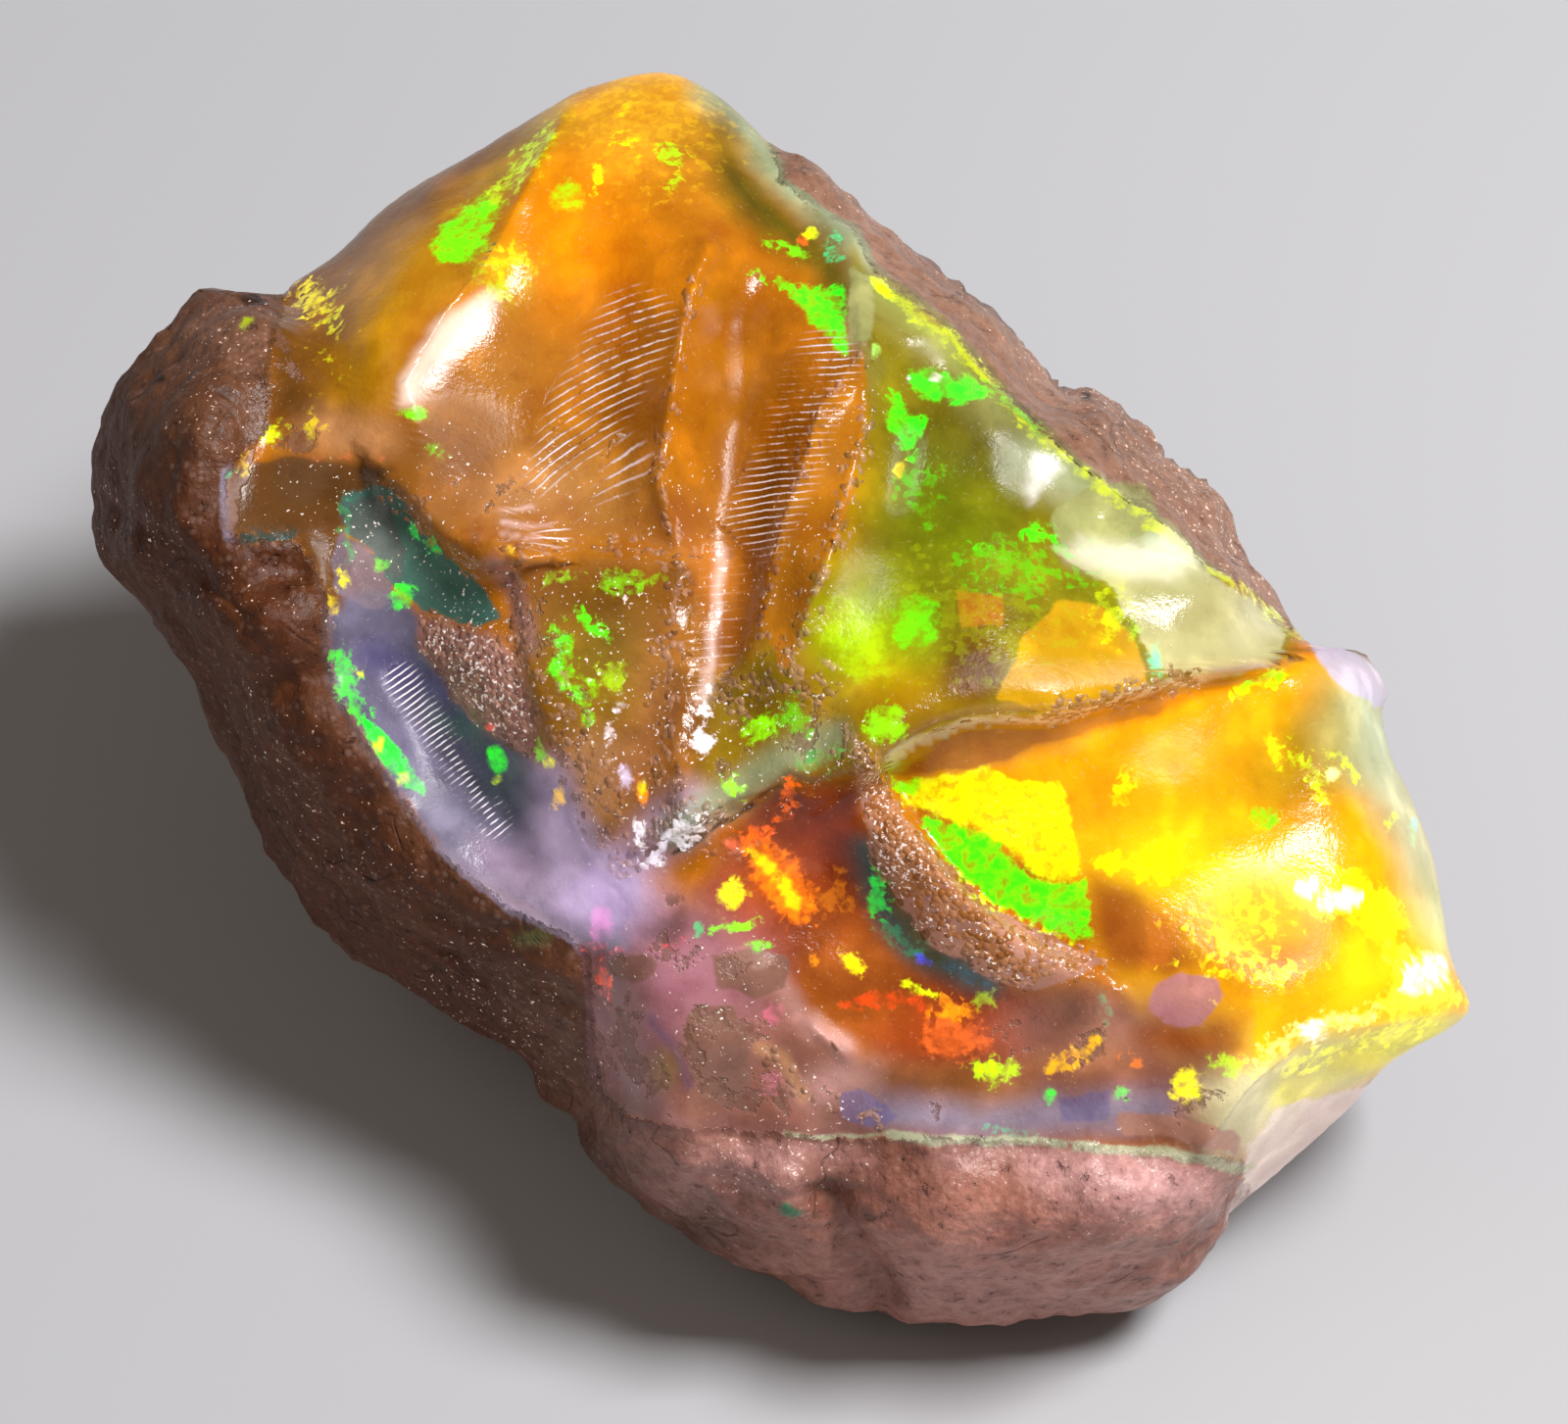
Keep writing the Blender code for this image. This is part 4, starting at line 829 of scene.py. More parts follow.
# Play of colour, later ones over earlier ones: shape, colour, strength, softness,
# and how much it breaks up into small bright scales
FIRE = (
    (blob(655, 120, 60, 50), "#F0C810", 0.20, 40, 0.9),
    (blob(1000, 620, 70, 50), "#90A008", 0.30, 40, 0.8),
    (area((437, 247), (453, 227), (480, 207), (500, 193), (516, 200), (500, 232), (494, 256),
          (467, 273), (446, 264)), "#58F006", 1.2, 10, 0.12),
    (band(18, (505, 200), (530, 172), (560, 140)), "#B0E010", 0.85, 12, 0.45),
    (area((493, 262), (530, 255), (545, 272), (522, 300), (510, 316), (495, 292)),
     "#A8D010", 0.6, 14, 0.5),
    (blob(578, 200, 14, 17), "#80E008", 0.8, 10, 0.1),
    (blob(635, 142, 14, 10), "#F0E008", 0.9, 8, 0.8),
    (blob(612, 178, 7, 18), "#D8E808", 0.9, 6, 0.75),
    (blob(653, 163, 6, 8), "#A0E808", 0.9, 5, 0.4),
    (blob(683, 158, 20, 13), "#98E810", 0.95, 8, 0.8),
    (blob(690, 183, 7, 7), "#98E810", 0.8, 5, 0.6),
    (blob(640, 108, 12, 5, 60), "#F8E010", 0.6, 5, 0.6),
    (blob(425, 422, 17, 8), "#60F008", 1.0, 6, 0.15),
    (blob(446, 461, 10, 5), "#60D008", 0.6, 6, 0.4),
    (blob(318, 304, 14, 22, 40), "#F0E008", 0.95, 8, 0.8),
    (blob(336, 330, 8, 22), "#D8D808", 0.8, 8, 0.8),
    (blob(274, 440, 18, 11, -20), "#D8F008", 1.0, 6, 0.45),
    (blob(246, 466, 8, 14, 10), "#D8B818", 0.7, 6, 0.6),
    (blob(234, 480, 5, 8), "#30C890", 0.7, 4, 0.2),
    (blob(320, 432, 8, 16), "#E8D008", 0.6, 8, 0.6),
    (blob(323, 465, 8, 4), "#F06848", 0.35, 6, 0.2),
    (blob(356, 467, 10, 4), "#F06848", 0.35, 6, 0.2),
    (blob(388, 465, 8, 4), "#F06848", 0.35, 6, 0.2),
    (area((800, 300), (820, 291), (856, 288), (863, 310), (866, 364), (852, 356), (838, 340),
          (824, 324)), "#14F018", 1.0, 6, 0.2),
    (band(9, (772, 281), (790, 288), (806, 296)), "#48E010", 0.8, 6, 0.6),
    (band(9, (784, 248), (800, 252), (822, 262)), "#60E010", 0.9, 5, 0.5),
    (blob(819, 246, 8, 6, -30), "#F86020", 0.9, 4, 0.2),
    (blob(831, 239, 9, 7), "#D8F010", 0.95, 4, 0.3),
    (blob(850, 257, 9, 13), "#10D080", 0.85, 6, 0.4),
    (band(12, (892, 284), (903, 296), (921, 312)), "#E0FF00", 1.0, 5, 0.15),
    (band(15, (921, 312), (961, 341), (1000, 372), (1042, 426), (1109, 485), (1144, 509),
          (1196, 548)), "#C0D010", 0.7, 7, 0.3),
    (band(12, (992, 386), (1030, 408), (1064, 440)), "#70E820", 0.5, 10, 0.6),
    (band(13, (1196, 548), (1222, 567), (1264, 595), (1321, 645)), "#C0D828", 0.55, 7, 0.6),
    (area((928, 378), (950, 374), (992, 384), (1008, 398), (985, 412), (945, 410), (930, 402)),
     "#20F020", 1.0, 6, 0.3),
    # painted highlight: a small white spot
    (blob(956, 386, 6, 6), "#F0FFE0", 1.0, 4, 0.0),
    (area((902, 404), (916, 400), (924, 418), (942, 425), (941, 452), (930, 474), (918, 456),
          (906, 436)), "#20F010", 1.0, 6, 0.35),
    (blob(922, 478, 9, 8), "#E8D010", 0.8, 5, 0.4),
    (blob(938, 496, 16, 26), "#38C010", 0.5, 14, 0.6),
    (blob(892, 359, 7, 8), "#A0E860", 0.8, 4, 0.1),
    (blob(1062, 549, 17, 9, -10), "#30F010", 1.0, 5, 0.5),
    (blob(1003, 561, 12, 8), "#30E010", 0.9, 5, 0.7),
    (blob(1030, 580, 60, 26), "#38C008", 0.55, 20, 0.75),
    (blob(1052, 600, 12, 20, 20), "#38C008", 0.6, 10, 0.6),
    (area((912, 610), (935, 606), (960, 612), (958, 655), (918, 662), (906, 640)),
     "#50D008", 0.8, 14, 0.2),
    (area((842, 622), (880, 618), (910, 640), (908, 690), (866, 700), (838, 664)),
     "#A0D808", 0.5, 22, 0.15),
    (blob(905, 740, 21, 19), "#80E808", 0.85, 8, 0.35),
    (blob(776, 743, 20, 16), "#88F008", 0.95, 7, 0.35),
    (blob(812, 733, 17, 20), "#58C008", 0.8, 8, 0.45),
    (blob(1135, 634, 24, 26, 30), "#C8E010", 0.6, 14, 0.6),
    (blob(1156, 645, 9, 14), "#A8F010", 0.8, 6, 0.5),
    (blob(1178, 672, 7, 21), "#60F0B0", 0.85, 6, 0.1),
    (band(13, (1262, 706), (1290, 696), (1310, 688)), "#88F008", 1.0, 5, 0.35),
    (blob(1301, 766, 5, 17, 20), "#C0F010", 0.9, 5, 0.2),
    (band(14, (1318, 768), (1345, 790), (1352, 812)), "#B8E010", 0.8, 8, 0.75),
    (band(8, (1352, 764), (1372, 778), (1384, 794)), "#D8F018", 0.9, 5, 0.4),
    (blob(1359, 790, 9, 6), "#F8FFA0", 0.9, 4, 0.0),
    (blob(1348, 812, 15, 6), "#E8F818", 0.9, 5, 0.1),
    (blob(1290, 836, 15, 13), "#50D008", 0.9, 6, 0.45),
    (blob(1421, 836, 5, 12, -20), "#D8F008", 0.8, 4, 0.2),
    (area((914, 800), (960, 793), (1012, 780), (1040, 798), (1080, 796), (1092, 812), (1104, 888),
          (1088, 902), (1056, 894), (1032, 870), (1004, 850), (960, 834), (924, 822)),
     "#E8F600", 0.85, 5, 0.12),
    (area((908, 793), (935, 797), (940, 806), (926, 818), (914, 806)), "#60FF08", 1.0, 5, 0.4),
    (area((936, 832), (960, 836), (1004, 850), (1032, 872), (1060, 896), (1088, 902), (1106, 896),
          (1112, 920), (1115, 962), (1096, 960), (1072, 952), (1040, 936), (1012, 924),
          (976, 888), (952, 864)), "#14F408", 1.05, 5, 0.3),
    (band(6, (976, 892), (1012, 927), (1040, 939), (1096, 962)), "#D8F810", 0.8, 4, 0.5),
    (blob(1148, 804, 9, 17, -20), "#FFE800", 0.8, 7, 0.4),
    (blob(1133, 881, 17, 14), "#FFF800", 1.0, 8, 0.25),
    (area((1156, 870), (1180, 856), (1212, 862), (1214, 884), (1190, 904), (1160, 896)),
     "#FFF200", 1.0, 12, 0.25),
    (blob(1262, 888, 36, 15, -10), "#D0F808", 0.95, 8, 0.55),
    (blob(1262, 945, 44, 40), "#FFD800", 0.7, 24, 0.75),
    (blob(1275, 985, 44, 16, -10), "#F8E810", 0.8, 12, 0.8),
    (area((1308, 880), (1340, 868), (1360, 880), (1400, 896), (1428, 920), (1437, 946),
          (1424, 964), (1392, 960), (1380, 938), (1320, 930), (1304, 906)),
     "#ECF808", 0.85, 8, 0.3),
    # painted highlights: white spots on the bench
    (blob(1335, 905, 14, 9), "#FFFFE8", 0.9, 6, 0.1),
    (blob(1368, 917, 24, 9, 10), "#FFFFE8", 1.0, 6, 0.3),
    (area((1405, 960), (1440, 965), (1484, 1000), (1497, 1022), (1440, 1034), (1400, 1030),
          (1420, 1000)), "#F0FF30", 0.95, 10, 0.25),
    # painted highlight at the tip
    (blob(1455, 994, 26, 18, 40), "#FFFFF4", 1.0, 8, 0.0),
    (band(16, (1280, 1084), (1304, 1062), (1345, 1046), (1400, 1034)), "#F0F888", 0.9, 8, 0.4),
    # painted highlight on the crest
    (blob(1341, 1052, 15, 9, -10), "#FFFFF4", 1.0, 5, 0.1),
    (band(18, (1318, 1085), (1380, 1066), (1450, 1046)), "#E8E818", 0.7, 10, 0.6),
    (blob(1440, 840, 5, 7, 10), "#30D8F0", 0.9, 4, 0.0),
    (blob(1440, 850, 4, 12, 10), "#A0E0A0", 0.4, 4, 0.0),
    (blob(808, 806, 10, 16), "#FF6808", 1.0, 5, 0.35),
    (blob(800, 832, 14, 10, 40), "#F06010", 0.8, 6, 0.5),
    (blob(770, 860, 22, 17, -20), "#F86010", 0.9, 8, 0.5),
    (blob(745, 864, 10, 9), "#F06848", 0.7, 6, 0.3),
    (area((754, 866), (785, 856), (812, 876), (832, 910), (832, 944), (806, 948), (786, 926),
          (770, 900)), "#FA7A0C", 1.0, 8, 0.3),
    (band(12, (770, 872), (790, 890), (812, 925)), "#FFD808", 1.0, 6, 0.4),
    (blob(750, 912, 18, 14, 10), "#F0F010", 1.0, 6, 0.3),
    (blob(852, 917, 20, 20), "#C87010", 0.5, 12, 0.7),
    (band(9, (724, 950), (745, 940), (768, 942)), "#70F010", 0.95, 5, 0.45),
    (blob(774, 967, 13, 7, -10), "#60E818", 0.9, 5, 0.4),
    (blob(710, 952, 6, 8), "#10D080", 0.7, 4, 0.3),
    (blob(898, 917, 13, 22, 10), "#08C838", 0.95, 6, 0.6),
    (band(14, (905, 945), (925, 965), (945, 975)), "#208858", 0.5, 8, 0.6),
    (blob(942, 978, 9, 7), "#5048F8", 1.0, 4, 0.1),
    (band(8, (955, 982), (985, 995), (1010, 1003)), "#205870", 0.5, 6, 0.4),
    (blob(872, 986, 17, 9, -50), "#FFE804", 1.1, 5, 0.3),
    (blob(833, 977, 5, 8), "#FF9808", 0.9, 4, 0.2),
    (band(8, (922, 1003), (935, 1012), (952, 1019)), "#D8F008", 1.0, 4, 0.6),
    (blob(968, 1032, 22, 10), "#FF9808", 0.9, 7, 0.5),
    (area((940, 1046), (1006, 1040), (1010, 1074), (975, 1084), (942, 1076)),
     "#E86828", 0.65, 9, 0.35),
    (band(14, (866, 1024), (900, 1018), (935, 1026)), "#E84010", 0.7, 8, 0.3),
    (blob(1003, 1022, 12, 8), "#A8D820", 0.6, 5, 0.6),
    (area((984, 1092), (1010, 1078), (1036, 1080), (1042, 1098), (1015, 1108)),
     "#B8F808", 1.0, 7, 0.4),
    (band(15, (1075, 1092), (1098, 1076), (1120, 1068)), "#F0B008", 0.9, 6, 0.65),
    (blob(1158, 1082, 12, 7, -20), "#F07818", 0.6, 5, 0.5),
    (blob(1212, 1108, 17, 16, -20), "#FFF010", 1.0, 7, 0.3),
    (blob(1258, 1090, 20, 11, -20), "#B0F010", 0.9, 7, 0.4),
    (blob(1126, 1028, 9, 20), "#40A878", 0.5, 7, 0.6),
    (blob(1030, 1156, 20, 7, -10), "#40C888", 0.6, 5, 0.5),
    (blob(1072, 1120, 7, 9), "#20E838", 0.9, 4, 0.1),
    (blob(1146, 1116, 8, 7), "#58E050", 0.85, 4, 0.4),
    (blob(788, 1032, 13, 11), "#E86890", 0.40, 8, 0.3),
    (blob(788, 1106, 11, 11), "#E88098", 0.35, 8, 0.3),
    (blob(684, 964, 13, 4, 10), "#FF4050", 0.8, 4, 0.4),
    (blob(616, 1000, 7, 17, 10), "#F05838", 0.7, 5, 0.5),
    (blob(612, 968, 16, 4), "#FF5060", 0.6, 4, 0.4),
    (blob(750, 803, 15, 9, -30), "#98F810", 1.0, 5, 0.4),
    (blob(838, 776, 22, 13, 10), "#38B850", 0.6, 8, 0.6),
    (band(18, (572, 645), (578, 660), (574, 685), (592, 705)), "#48F010", 1.0, 7, 0.55),
    (band(12, (590, 626), (600, 632), (622, 650)), "#40F010", 1.0, 6, 0.5),
    (blob(595, 698, 24, 10, -20), "#78E808", 0.9, 7, 0.55),
    (blob(625, 690, 16, 14, 40), "#A8E010", 0.7, 8, 0.6),
    (blob(597, 726, 8, 12), "#70F010", 0.8, 5, 0.5),
    (blob(640, 593, 28, 10, 10), "#78D010", 0.8, 8, 0.4),
    (blob(572, 588, 14, 4, 20), "#90E010", 0.6, 5, 0.5),
    (blob(655, 808, 8, 15, 10), "#FF9010", 1.0, 4, 0.2),
    (blob(657, 802, 5, 7), "#FFD810", 1.0, 3, 0.1),
    (area((366, 730), (380, 736), (396, 752), (413, 772), (428, 792), (433, 814), (418, 806),
          (400, 790), (382, 770), (370, 750)), "#08F820", 1.1, 5, 0.15),
    (blob(384, 761, 7, 5, 50), "#C8FF18", 1.1, 3, 0.0),
    (blob(413, 796, 8, 5, 50), "#E8FF50", 1.1, 3, 0.0),
    (band(26, (346, 672), (352, 700), (364, 724)), "#38D828", 0.8, 8, 0.85),
    (blob(367, 686, 5, 4), "#D8E010", 1.0, 3, 0.1),
    (blob(350, 588, 6, 13), "#E8D808", 1.0, 4, 0.4),
    (blob(339, 617, 4, 16), "#D8C020", 0.7, 4, 0.6),
    (blob(389, 574, 8, 6), "#70E010", 0.9, 4, 0.3),
    (blob(411, 608, 13, 14, -40), "#30E818", 1.0, 5, 0.4),
    (band(10, (424, 540), (436, 550), (445, 560)), "#18B838", 0.8, 5, 0.6),
    (band(12, (350, 515), (352, 540), (358, 570)), "#28A858", 0.5, 6, 0.7),
    (blob(507, 776, 9, 15), "#10F018", 1.1, 4, 0.05),
    (blob(506, 794, 6, 5), "#C8E818", 1.0, 3, 0.1),
    (blob(559, 781, 6, 6), "#F0F010", 1.0, 4, 0.1),
    (blob(569, 816, 7, 11, -10), "#FFC810", 1.0, 4, 0.3),
    (blob(551, 765, 4, 14), "#68D010", 0.8, 4, 0.5),
    (blob(503, 741, 5, 5), "#F05040", 0.6, 4, 0.2),
    (blob(612, 944, 13, 20), "#F080D0", 0.5, 6, 0.0),
    (blob(520, 562, 6, 6), "#F0C010", 0.8, 4, 0.3),
    (band(6, (697, 305), (702, 300), (708, 292)), "#F0A020", 0.3, 4, 0.2),
    # painted highlights: white and lilac-white spots down the middle, and a white patch at its
    # foot
    (blob(630, 720, 9, 7), "#FFF4FF", 0.9, 4, 0.5),
    (blob(623, 745, 5, 12), "#FFF4FF", 0.9, 4, 0.5),
    (blob(637, 795, 7, 13), "#D8C8E8", 0.8, 4, 0.2),
    (blob(715, 757, 11, 15), "#FFF8FF", 1.0, 4, 0.5),
    (band(10, (724, 700), (716, 728)), "#FFF8FF", 0.9, 4, 0.7),
    (blob(654, 853, 6, 16, 10), "#FFF8FF", 0.9, 4, 0.5),
    (area((678, 864), (686, 842), (698, 830), (714, 834), (716, 850), (700, 864)),
     "#FFF8FF", 0.8, 5, 0.85),
    (band(12, (682, 856), (664, 878)), "#F8F0FF", 0.9, 5, 0.7),
)


def linear(colour):
    """Turn a colour, by its palette name or as sRGB hex, into linear light."""
    colour = COLOURS.get(colour, colour)
    parts = [int(colour[place:place + 2], 16) / 255.0 for place in (1, 3, 5)]
    return [
        part / 12.92 if part <= 0.04045 else ((part + 0.055) / 1.055) ** 2.4
        for part in parts
    ]


def face_points(places):
    """Turn sheet squares into millimetres across and up the face."""
    places = np.asarray(places, dtype=float)
    across = (places[:, 0] - SHEET_MIDDLE[0]) / SQUARES_PER_MM
    up = (SHEET_MIDDLE[1] - places[:, 1]) / SQUARES_PER_MM
    return np.stack([across, up], axis=1)


def smooth_loop(points, steps):
    """Draw a Catmull-Rom curve through a closed loop of points."""
    before = np.roll(points, 1, axis=0)
    after = np.roll(points, -1, axis=0)
    beyond = np.roll(points, -2, axis=0)
    rows = []
    for step in range(steps):
        t = step / steps
        rows.append(
            0.5 * (
                2.0 * points
                + (after - before) * t
                + (2.0 * before - 5.0 * points + 4.0 * after - beyond) * t ** 2
                + (3.0 * points - before - 3.0 * after + beyond) * t ** 3
            )
        )
    return np.stack(rows, axis=1).reshape(-1, 2)


def outline_radius(angle):
    """Distance from the middle of the outline to its edge, at each angle."""
    middle = face_points([OUTLINE_MIDDLE])[0]
    loop = smooth_loop(face_points(OUTLINE), OUTLINE_STEPS) - middle
    loop_angle = np.arctan2(loop[:, 1], loop[:, 0])
    loop_radius = np.hypot(loop[:, 0], loop[:, 1])
    return np.interp(angle, loop_angle, loop_radius, period=2.0 * math.pi)


def thin_plate(points, heights, across, up):
    """Bend a thin plate through the given heights and read it everywhere."""
    def bend(distance_squared):
        return 0.5 * distance_squared * np.log(distance_squared + 1e-9)

    count = len(points)
    gap = points[:, None, :] - points[None, :, :]
    system = np.zeros((count + 3, count + 3))
    system[:count, :count] = bend((gap ** 2).sum(axis=2)) + np.eye(count) * PLATE_GIVE
    system[:count, count] = 1.0
    system[:count, count + 1:] = points
    system[count:, :count] = system[:count, count:].T
    weights = np.linalg.solve(system, np.concatenate([heights, np.zeros(3)]))
    result = weights[count] + weights[count + 1] * across + weights[count + 2] * up
    for point, weight in zip(points, weights[:count]):
        distance_squared = (across - point[0]) ** 2 + (up - point[1]) ** 2
        result = result + weight * bend(distance_squared)
    return result


def nearest_on_line(points, across, up):
    """Nearest places on a drawn line, their distance and the side: +1 is left."""
    nearest = np.full(across.shape, 1e9)
    side = np.ones(across.shape)
    on_across = np.zeros(across.shape)
    on_up = np.zeros(across.shape)
    for start, end in zip(points[:-1], points[1:]):
        run = end - start
        t = ((across - start[0]) * run[0] + (up - start[1]) * run[1]) / (run @ run)
        t = np.clip(t, 0.0, 1.0)
        here_across = start[0] + t * run[0]
        here_up = start[1] + t * run[1]
        gap = np.hypot(across - here_across, up - here_up)
        turn = run[0] * (up - here_up) - run[1] * (across - here_across)
        closer = gap < nearest
        nearest = np.where(closer, gap, nearest)
        side = np.where(closer, np.where(turn >= 0.0, 1.0, -1.0), side)
        on_across = np.where(closer, here_across, on_across)
        on_up = np.where(closer, here_up, on_up)
    return on_across, on_up, nearest, side


def line_gap(line, across, up):
    """Distance to a drawn line in mm, and the side of it: +1 is left."""
    return nearest_on_line(face_points(line), across, up)[2:]


def area_gap(points, across, up):
    """Distance in from the edge of a closed shape, negative outside it."""
    loop = np.concatenate([points, points[:1]])
    _, _, distance, _ = nearest_on_line(loop, across, up)
    inside = np.zeros(across.shape, dtype=bool)
    for start, end in zip(loop[:-1], loop[1:]):
        if start[1] == end[1]:
            continue
        crosses = (start[1] > up) != (end[1] > up)
        at = start[0] + (up - start[1]) * (end[0] - start[0]) / (end[1] - start[1])
        inside ^= crosses & (across < at)
    return np.where(inside, distance, -distance)


def snap_to_lines(across, up, free, row_gap):
    """Slide the points that lie nearest a crest or a ledge onto its line."""
    for line, _, _ in CRESTS + LEDGES:
        on_across, on_up, distance, _ = nearest_on_line(face_points(line), across, up)
        close = free & (distance < 0.5 * row_gap)
        across = np.where(close, on_across, across)
        up = np.where(close, on_up, up)
    return across, up


def face_height(across, up, crest_round, ledge_width):
    """Height of the front of the stone above the sheet."""
    table = np.asarray(HEIGHTS, dtype=float)
    height = thin_plate(face_points(table[:, :2]), table[:, 2], across, up)
    for line, rise, reach in CRESTS:
        distance, _ = line_gap(line, across, up)
        distance = np.hypot(distance, crest_round) - crest_round
        height = height + rise * np.exp(-distance / (CREST_FALL * reach))
    for line, drop, reach in LEDGES:
        distance, side = line_gap(line, across, up)
        step = np.tanh(distance * side / ledge_width)
        height = height + 0.5 * drop * step * np.exp(-((distance / reach) ** 2))
    for line, depth, half_width in GROOVES:
        distance, _ = line_gap(line, across, up)
        height = height - depth * np.exp(-((distance / half_width) ** 2))
    for x, y, radius, rise in LUMPS:
        place = face_points([(x, y)])[0]
        distance = np.hypot(across - place[0], up - place[1])
        height = height + rise * np.exp(-((distance / radius) ** 2))
    return height


def back_lumps(across, up):
    """Height in mm of the low lumps of the guessed back: three crossing waves."""
    return (
        1.1 * np.sin(0.21 * across + 1.0) * np.cos(0.24 * up + 0.4)
        + 0.5 * np.sin(0.43 * up + 0.2 * across) * np.cos(0.37 * across - 0.1 * up)
        + 0.25 * np.sin(0.8 * up - 0.5 * across + 2.0)
    )


def stone_points(directions, shape):
    """Place points of a unit ball on the stone: places in mm, and where they are."""
    middle = face_points([OUTLINE_MIDDLE])[0]
    row_gap = shape.row_gap / MM
    crest_round = shape.crest_round / MM
    ledge_width = shape.ledge_width / MM
    lift = np.clip(directions[:, 2], -1.0, 1.0)
    angle = np.arctan2(directions[:, 1], directions[:, 0])
    front = lift >= EDGE_TURN
    share = np.where(
        front,
        np.sqrt((1.0 - lift) / (1.0 - EDGE_TURN)),
        np.sqrt(np.clip((1.0 + lift) / (1.0 + EDGE_TURN), 0.0, 1.0)),
    )
    share = np.clip(share, 0.0, 1.0)
    reach = np.where(front, 0.5 * share + 0.5 * np.sin(0.5 * math.pi * share), share)
    radius = outline_radius(angle)
    across = middle[0] + reach * radius * np.cos(angle)
    up = middle[1] + reach * radius * np.sin(angle)
    across, up = snap_to_lines(across, up, front & (reach < SNAP_LIMIT), row_gap)

    # the edge turns smoothly, so its height is read at whole steps round it
    rim_angle = np.linspace(-math.pi, math.pi, EDGE_STEPS + 1)[:-1]
    rim_radius = outline_radius(rim_angle)
    rim_height = face_height(
        middle[0] + rim_radius * np.cos(rim_angle),
        middle[1] + rim_radius * np.sin(rim_angle),
        crest_round,
        ledge_width,
    )
    edge_height = np.interp(angle, rim_angle, rim_height, period=2.0 * math.pi) - EDGE_DROP
    rounding = 1.0 - np.sqrt(np.clip(1.0 - reach ** EDGE_SQUARE, 0.0, 1.0))
    front_height = face_height(across, up, crest_round, ledge_width) - EDGE_DROP * rounding

    tilt = shape.face_tilt
    bulge = np.sqrt(np.clip(1.0 - reach ** BACK_SQUARE, 0.0, 1.0))
    floor = (GROUND - BACK_PRESS - up * math.cos(tilt)) / math.sin(tilt)
    back_floor = np.maximum(floor, BACK_DEPTH + BACK_SLOPE * up)
    lumps = back_lumps(across, up)
    back_height = edge_height + (back_floor + lumps - edge_height) * bulge
    height = np.where(front, front_height, back_height)

    # seen from EYE_DISTANCE in front, each feature keeps its place on the sheet
    spread = 1.0 - height / EYE_DISTANCE
    x = across * spread
    y = up * spread * math.sin(tilt) - height * math.cos(tilt)
    z = up * spread * math.cos(tilt) + height * math.sin(tilt)
    z = np.maximum(z, GROUND)
    places = np.stack([x - ORIGIN[0], y - ORIGIN[1], z - GROUND], axis=1)
    behind = np.where(front, 0.0, edge_height - back_height + (1.0 - reach) * radius)
    return places, across, up, behind


def shape_gap(shape, across, up):
    """Distance in from the edge of a drawn shape, negative outside it, in squares."""
    kind = shape[0]
    if kind == "blob":
        _, x, y, half_width, half_height, turn = shape
        place = face_points([(x, y)])[0]
        turn = math.radians(turn)
        along = (across - place[0]) * math.cos(turn) + (up - place[1]) * math.sin(turn)
        aside = (up - place[1]) * math.cos(turn) - (across - place[0]) * math.sin(turn)
        along = along * SQUARES_PER_MM / half_width
        aside = aside * SQUARES_PER_MM / half_height
        return (1.0 - np.hypot(along, aside)) * min(half_width, half_height)
    if kind == "band":
        distance, _ = line_gap(shape[1], across, up)
        return 0.5 * shape[2] - distance * SQUARES_PER_MM
    return area_gap(face_points(shape[1]), across, up) * SQUARES_PER_MM


def shape_reach(shape):
    """The box round a drawn shape, in squares."""
    if shape[0] == "blob":
        _, x, y, half_width, half_height, _ = shape
        half = max(half_width, half_height)
        return x - half, y - half, x + half, y + half
    spare = shape[2] if shape[0] == "band" else 0.0
    xs, ys = zip(*shape[1])
    return min(xs) - spare, min(ys) - spare, max(xs) + spare, max(ys) + spare


def near_shape(shape, margin, across, up):
    """Indices of the points inside a shape's box and a margin round it."""
    low_x, low_y, high_x, high_y = shape_reach(shape)
    x = across * SQUARES_PER_MM + SHEET_MIDDLE[0]
    y = SHEET_MIDDLE[1] - up * SQUARES_PER_MM
    close = (x > low_x - margin) & (x < high_x + margin)
    close &= (y > low_y - margin) & (y < high_y + margin)
    return np.nonzero(close)[0]


def cover(gap, softness):
    """How fully a soft-edged shape covers a point, from 0 to 1."""
    share = np.clip(0.5 + gap / (2.0 * max(softness, 1.0)), 0.0, 1.0)
    return share * share * (3.0 - 2.0 * share)


def ball_directions(points):
    """Spread a cube's rows evenly over a ball by angle."""
    directions = np.tan(np.asarray(points) * math.pi / 4.0)
    return directions / np.linalg.norm(directions, axis=1)[:, None]


def noise_field(places, name):
    """Fractal noise between about -1 and 1 at every place."""
    size, octaves, seed = NOISES[name]
    shift = Vector([seed * step for step in NOISE_STEPS])
    return np.array(
        [noise.fractal(Vector(place) / size + shift, 1.0, 2.0, octaves) for place in places]
    )


def split_quads(stone, middles):
    """Halve each quad along the diagonal that lies nearer to the true surface."""
    for face, middle in zip(stone.faces[:], middles):
        first, second, third, fourth = face.verts
        along = ((first.co + third.co) * 0.5 - Vector(middle)).length_squared
        across = ((second.co + fourth.co) * 0.5 - Vector(middle)).length_squared
        if along <= across:
            bmesh.utils.face_split(face, first, third)
        else:
            bmesh.utils.face_split(face, second, fourth)


def soft_share(shape, strength, softness, across, up, front):
    """Front points near a soft-edged shape, and how strongly it covers each."""
    near = near_shape(shape, softness, across, up)
    near = near[front[near]]
    return near, strength * cover(shape_gap(shape, across[near], up[near]), softness)


def spread_amount(layers, across, up, front):
    """How much of something there is at every point, from soft-edged shapes."""
    amount = np.zeros(across.shape)
    for shape, most, softness in layers:
        near, here = soft_share(shape, most, softness, across, up, front)
        amount[near] = np.maximum(amount[near], here)
    return amount


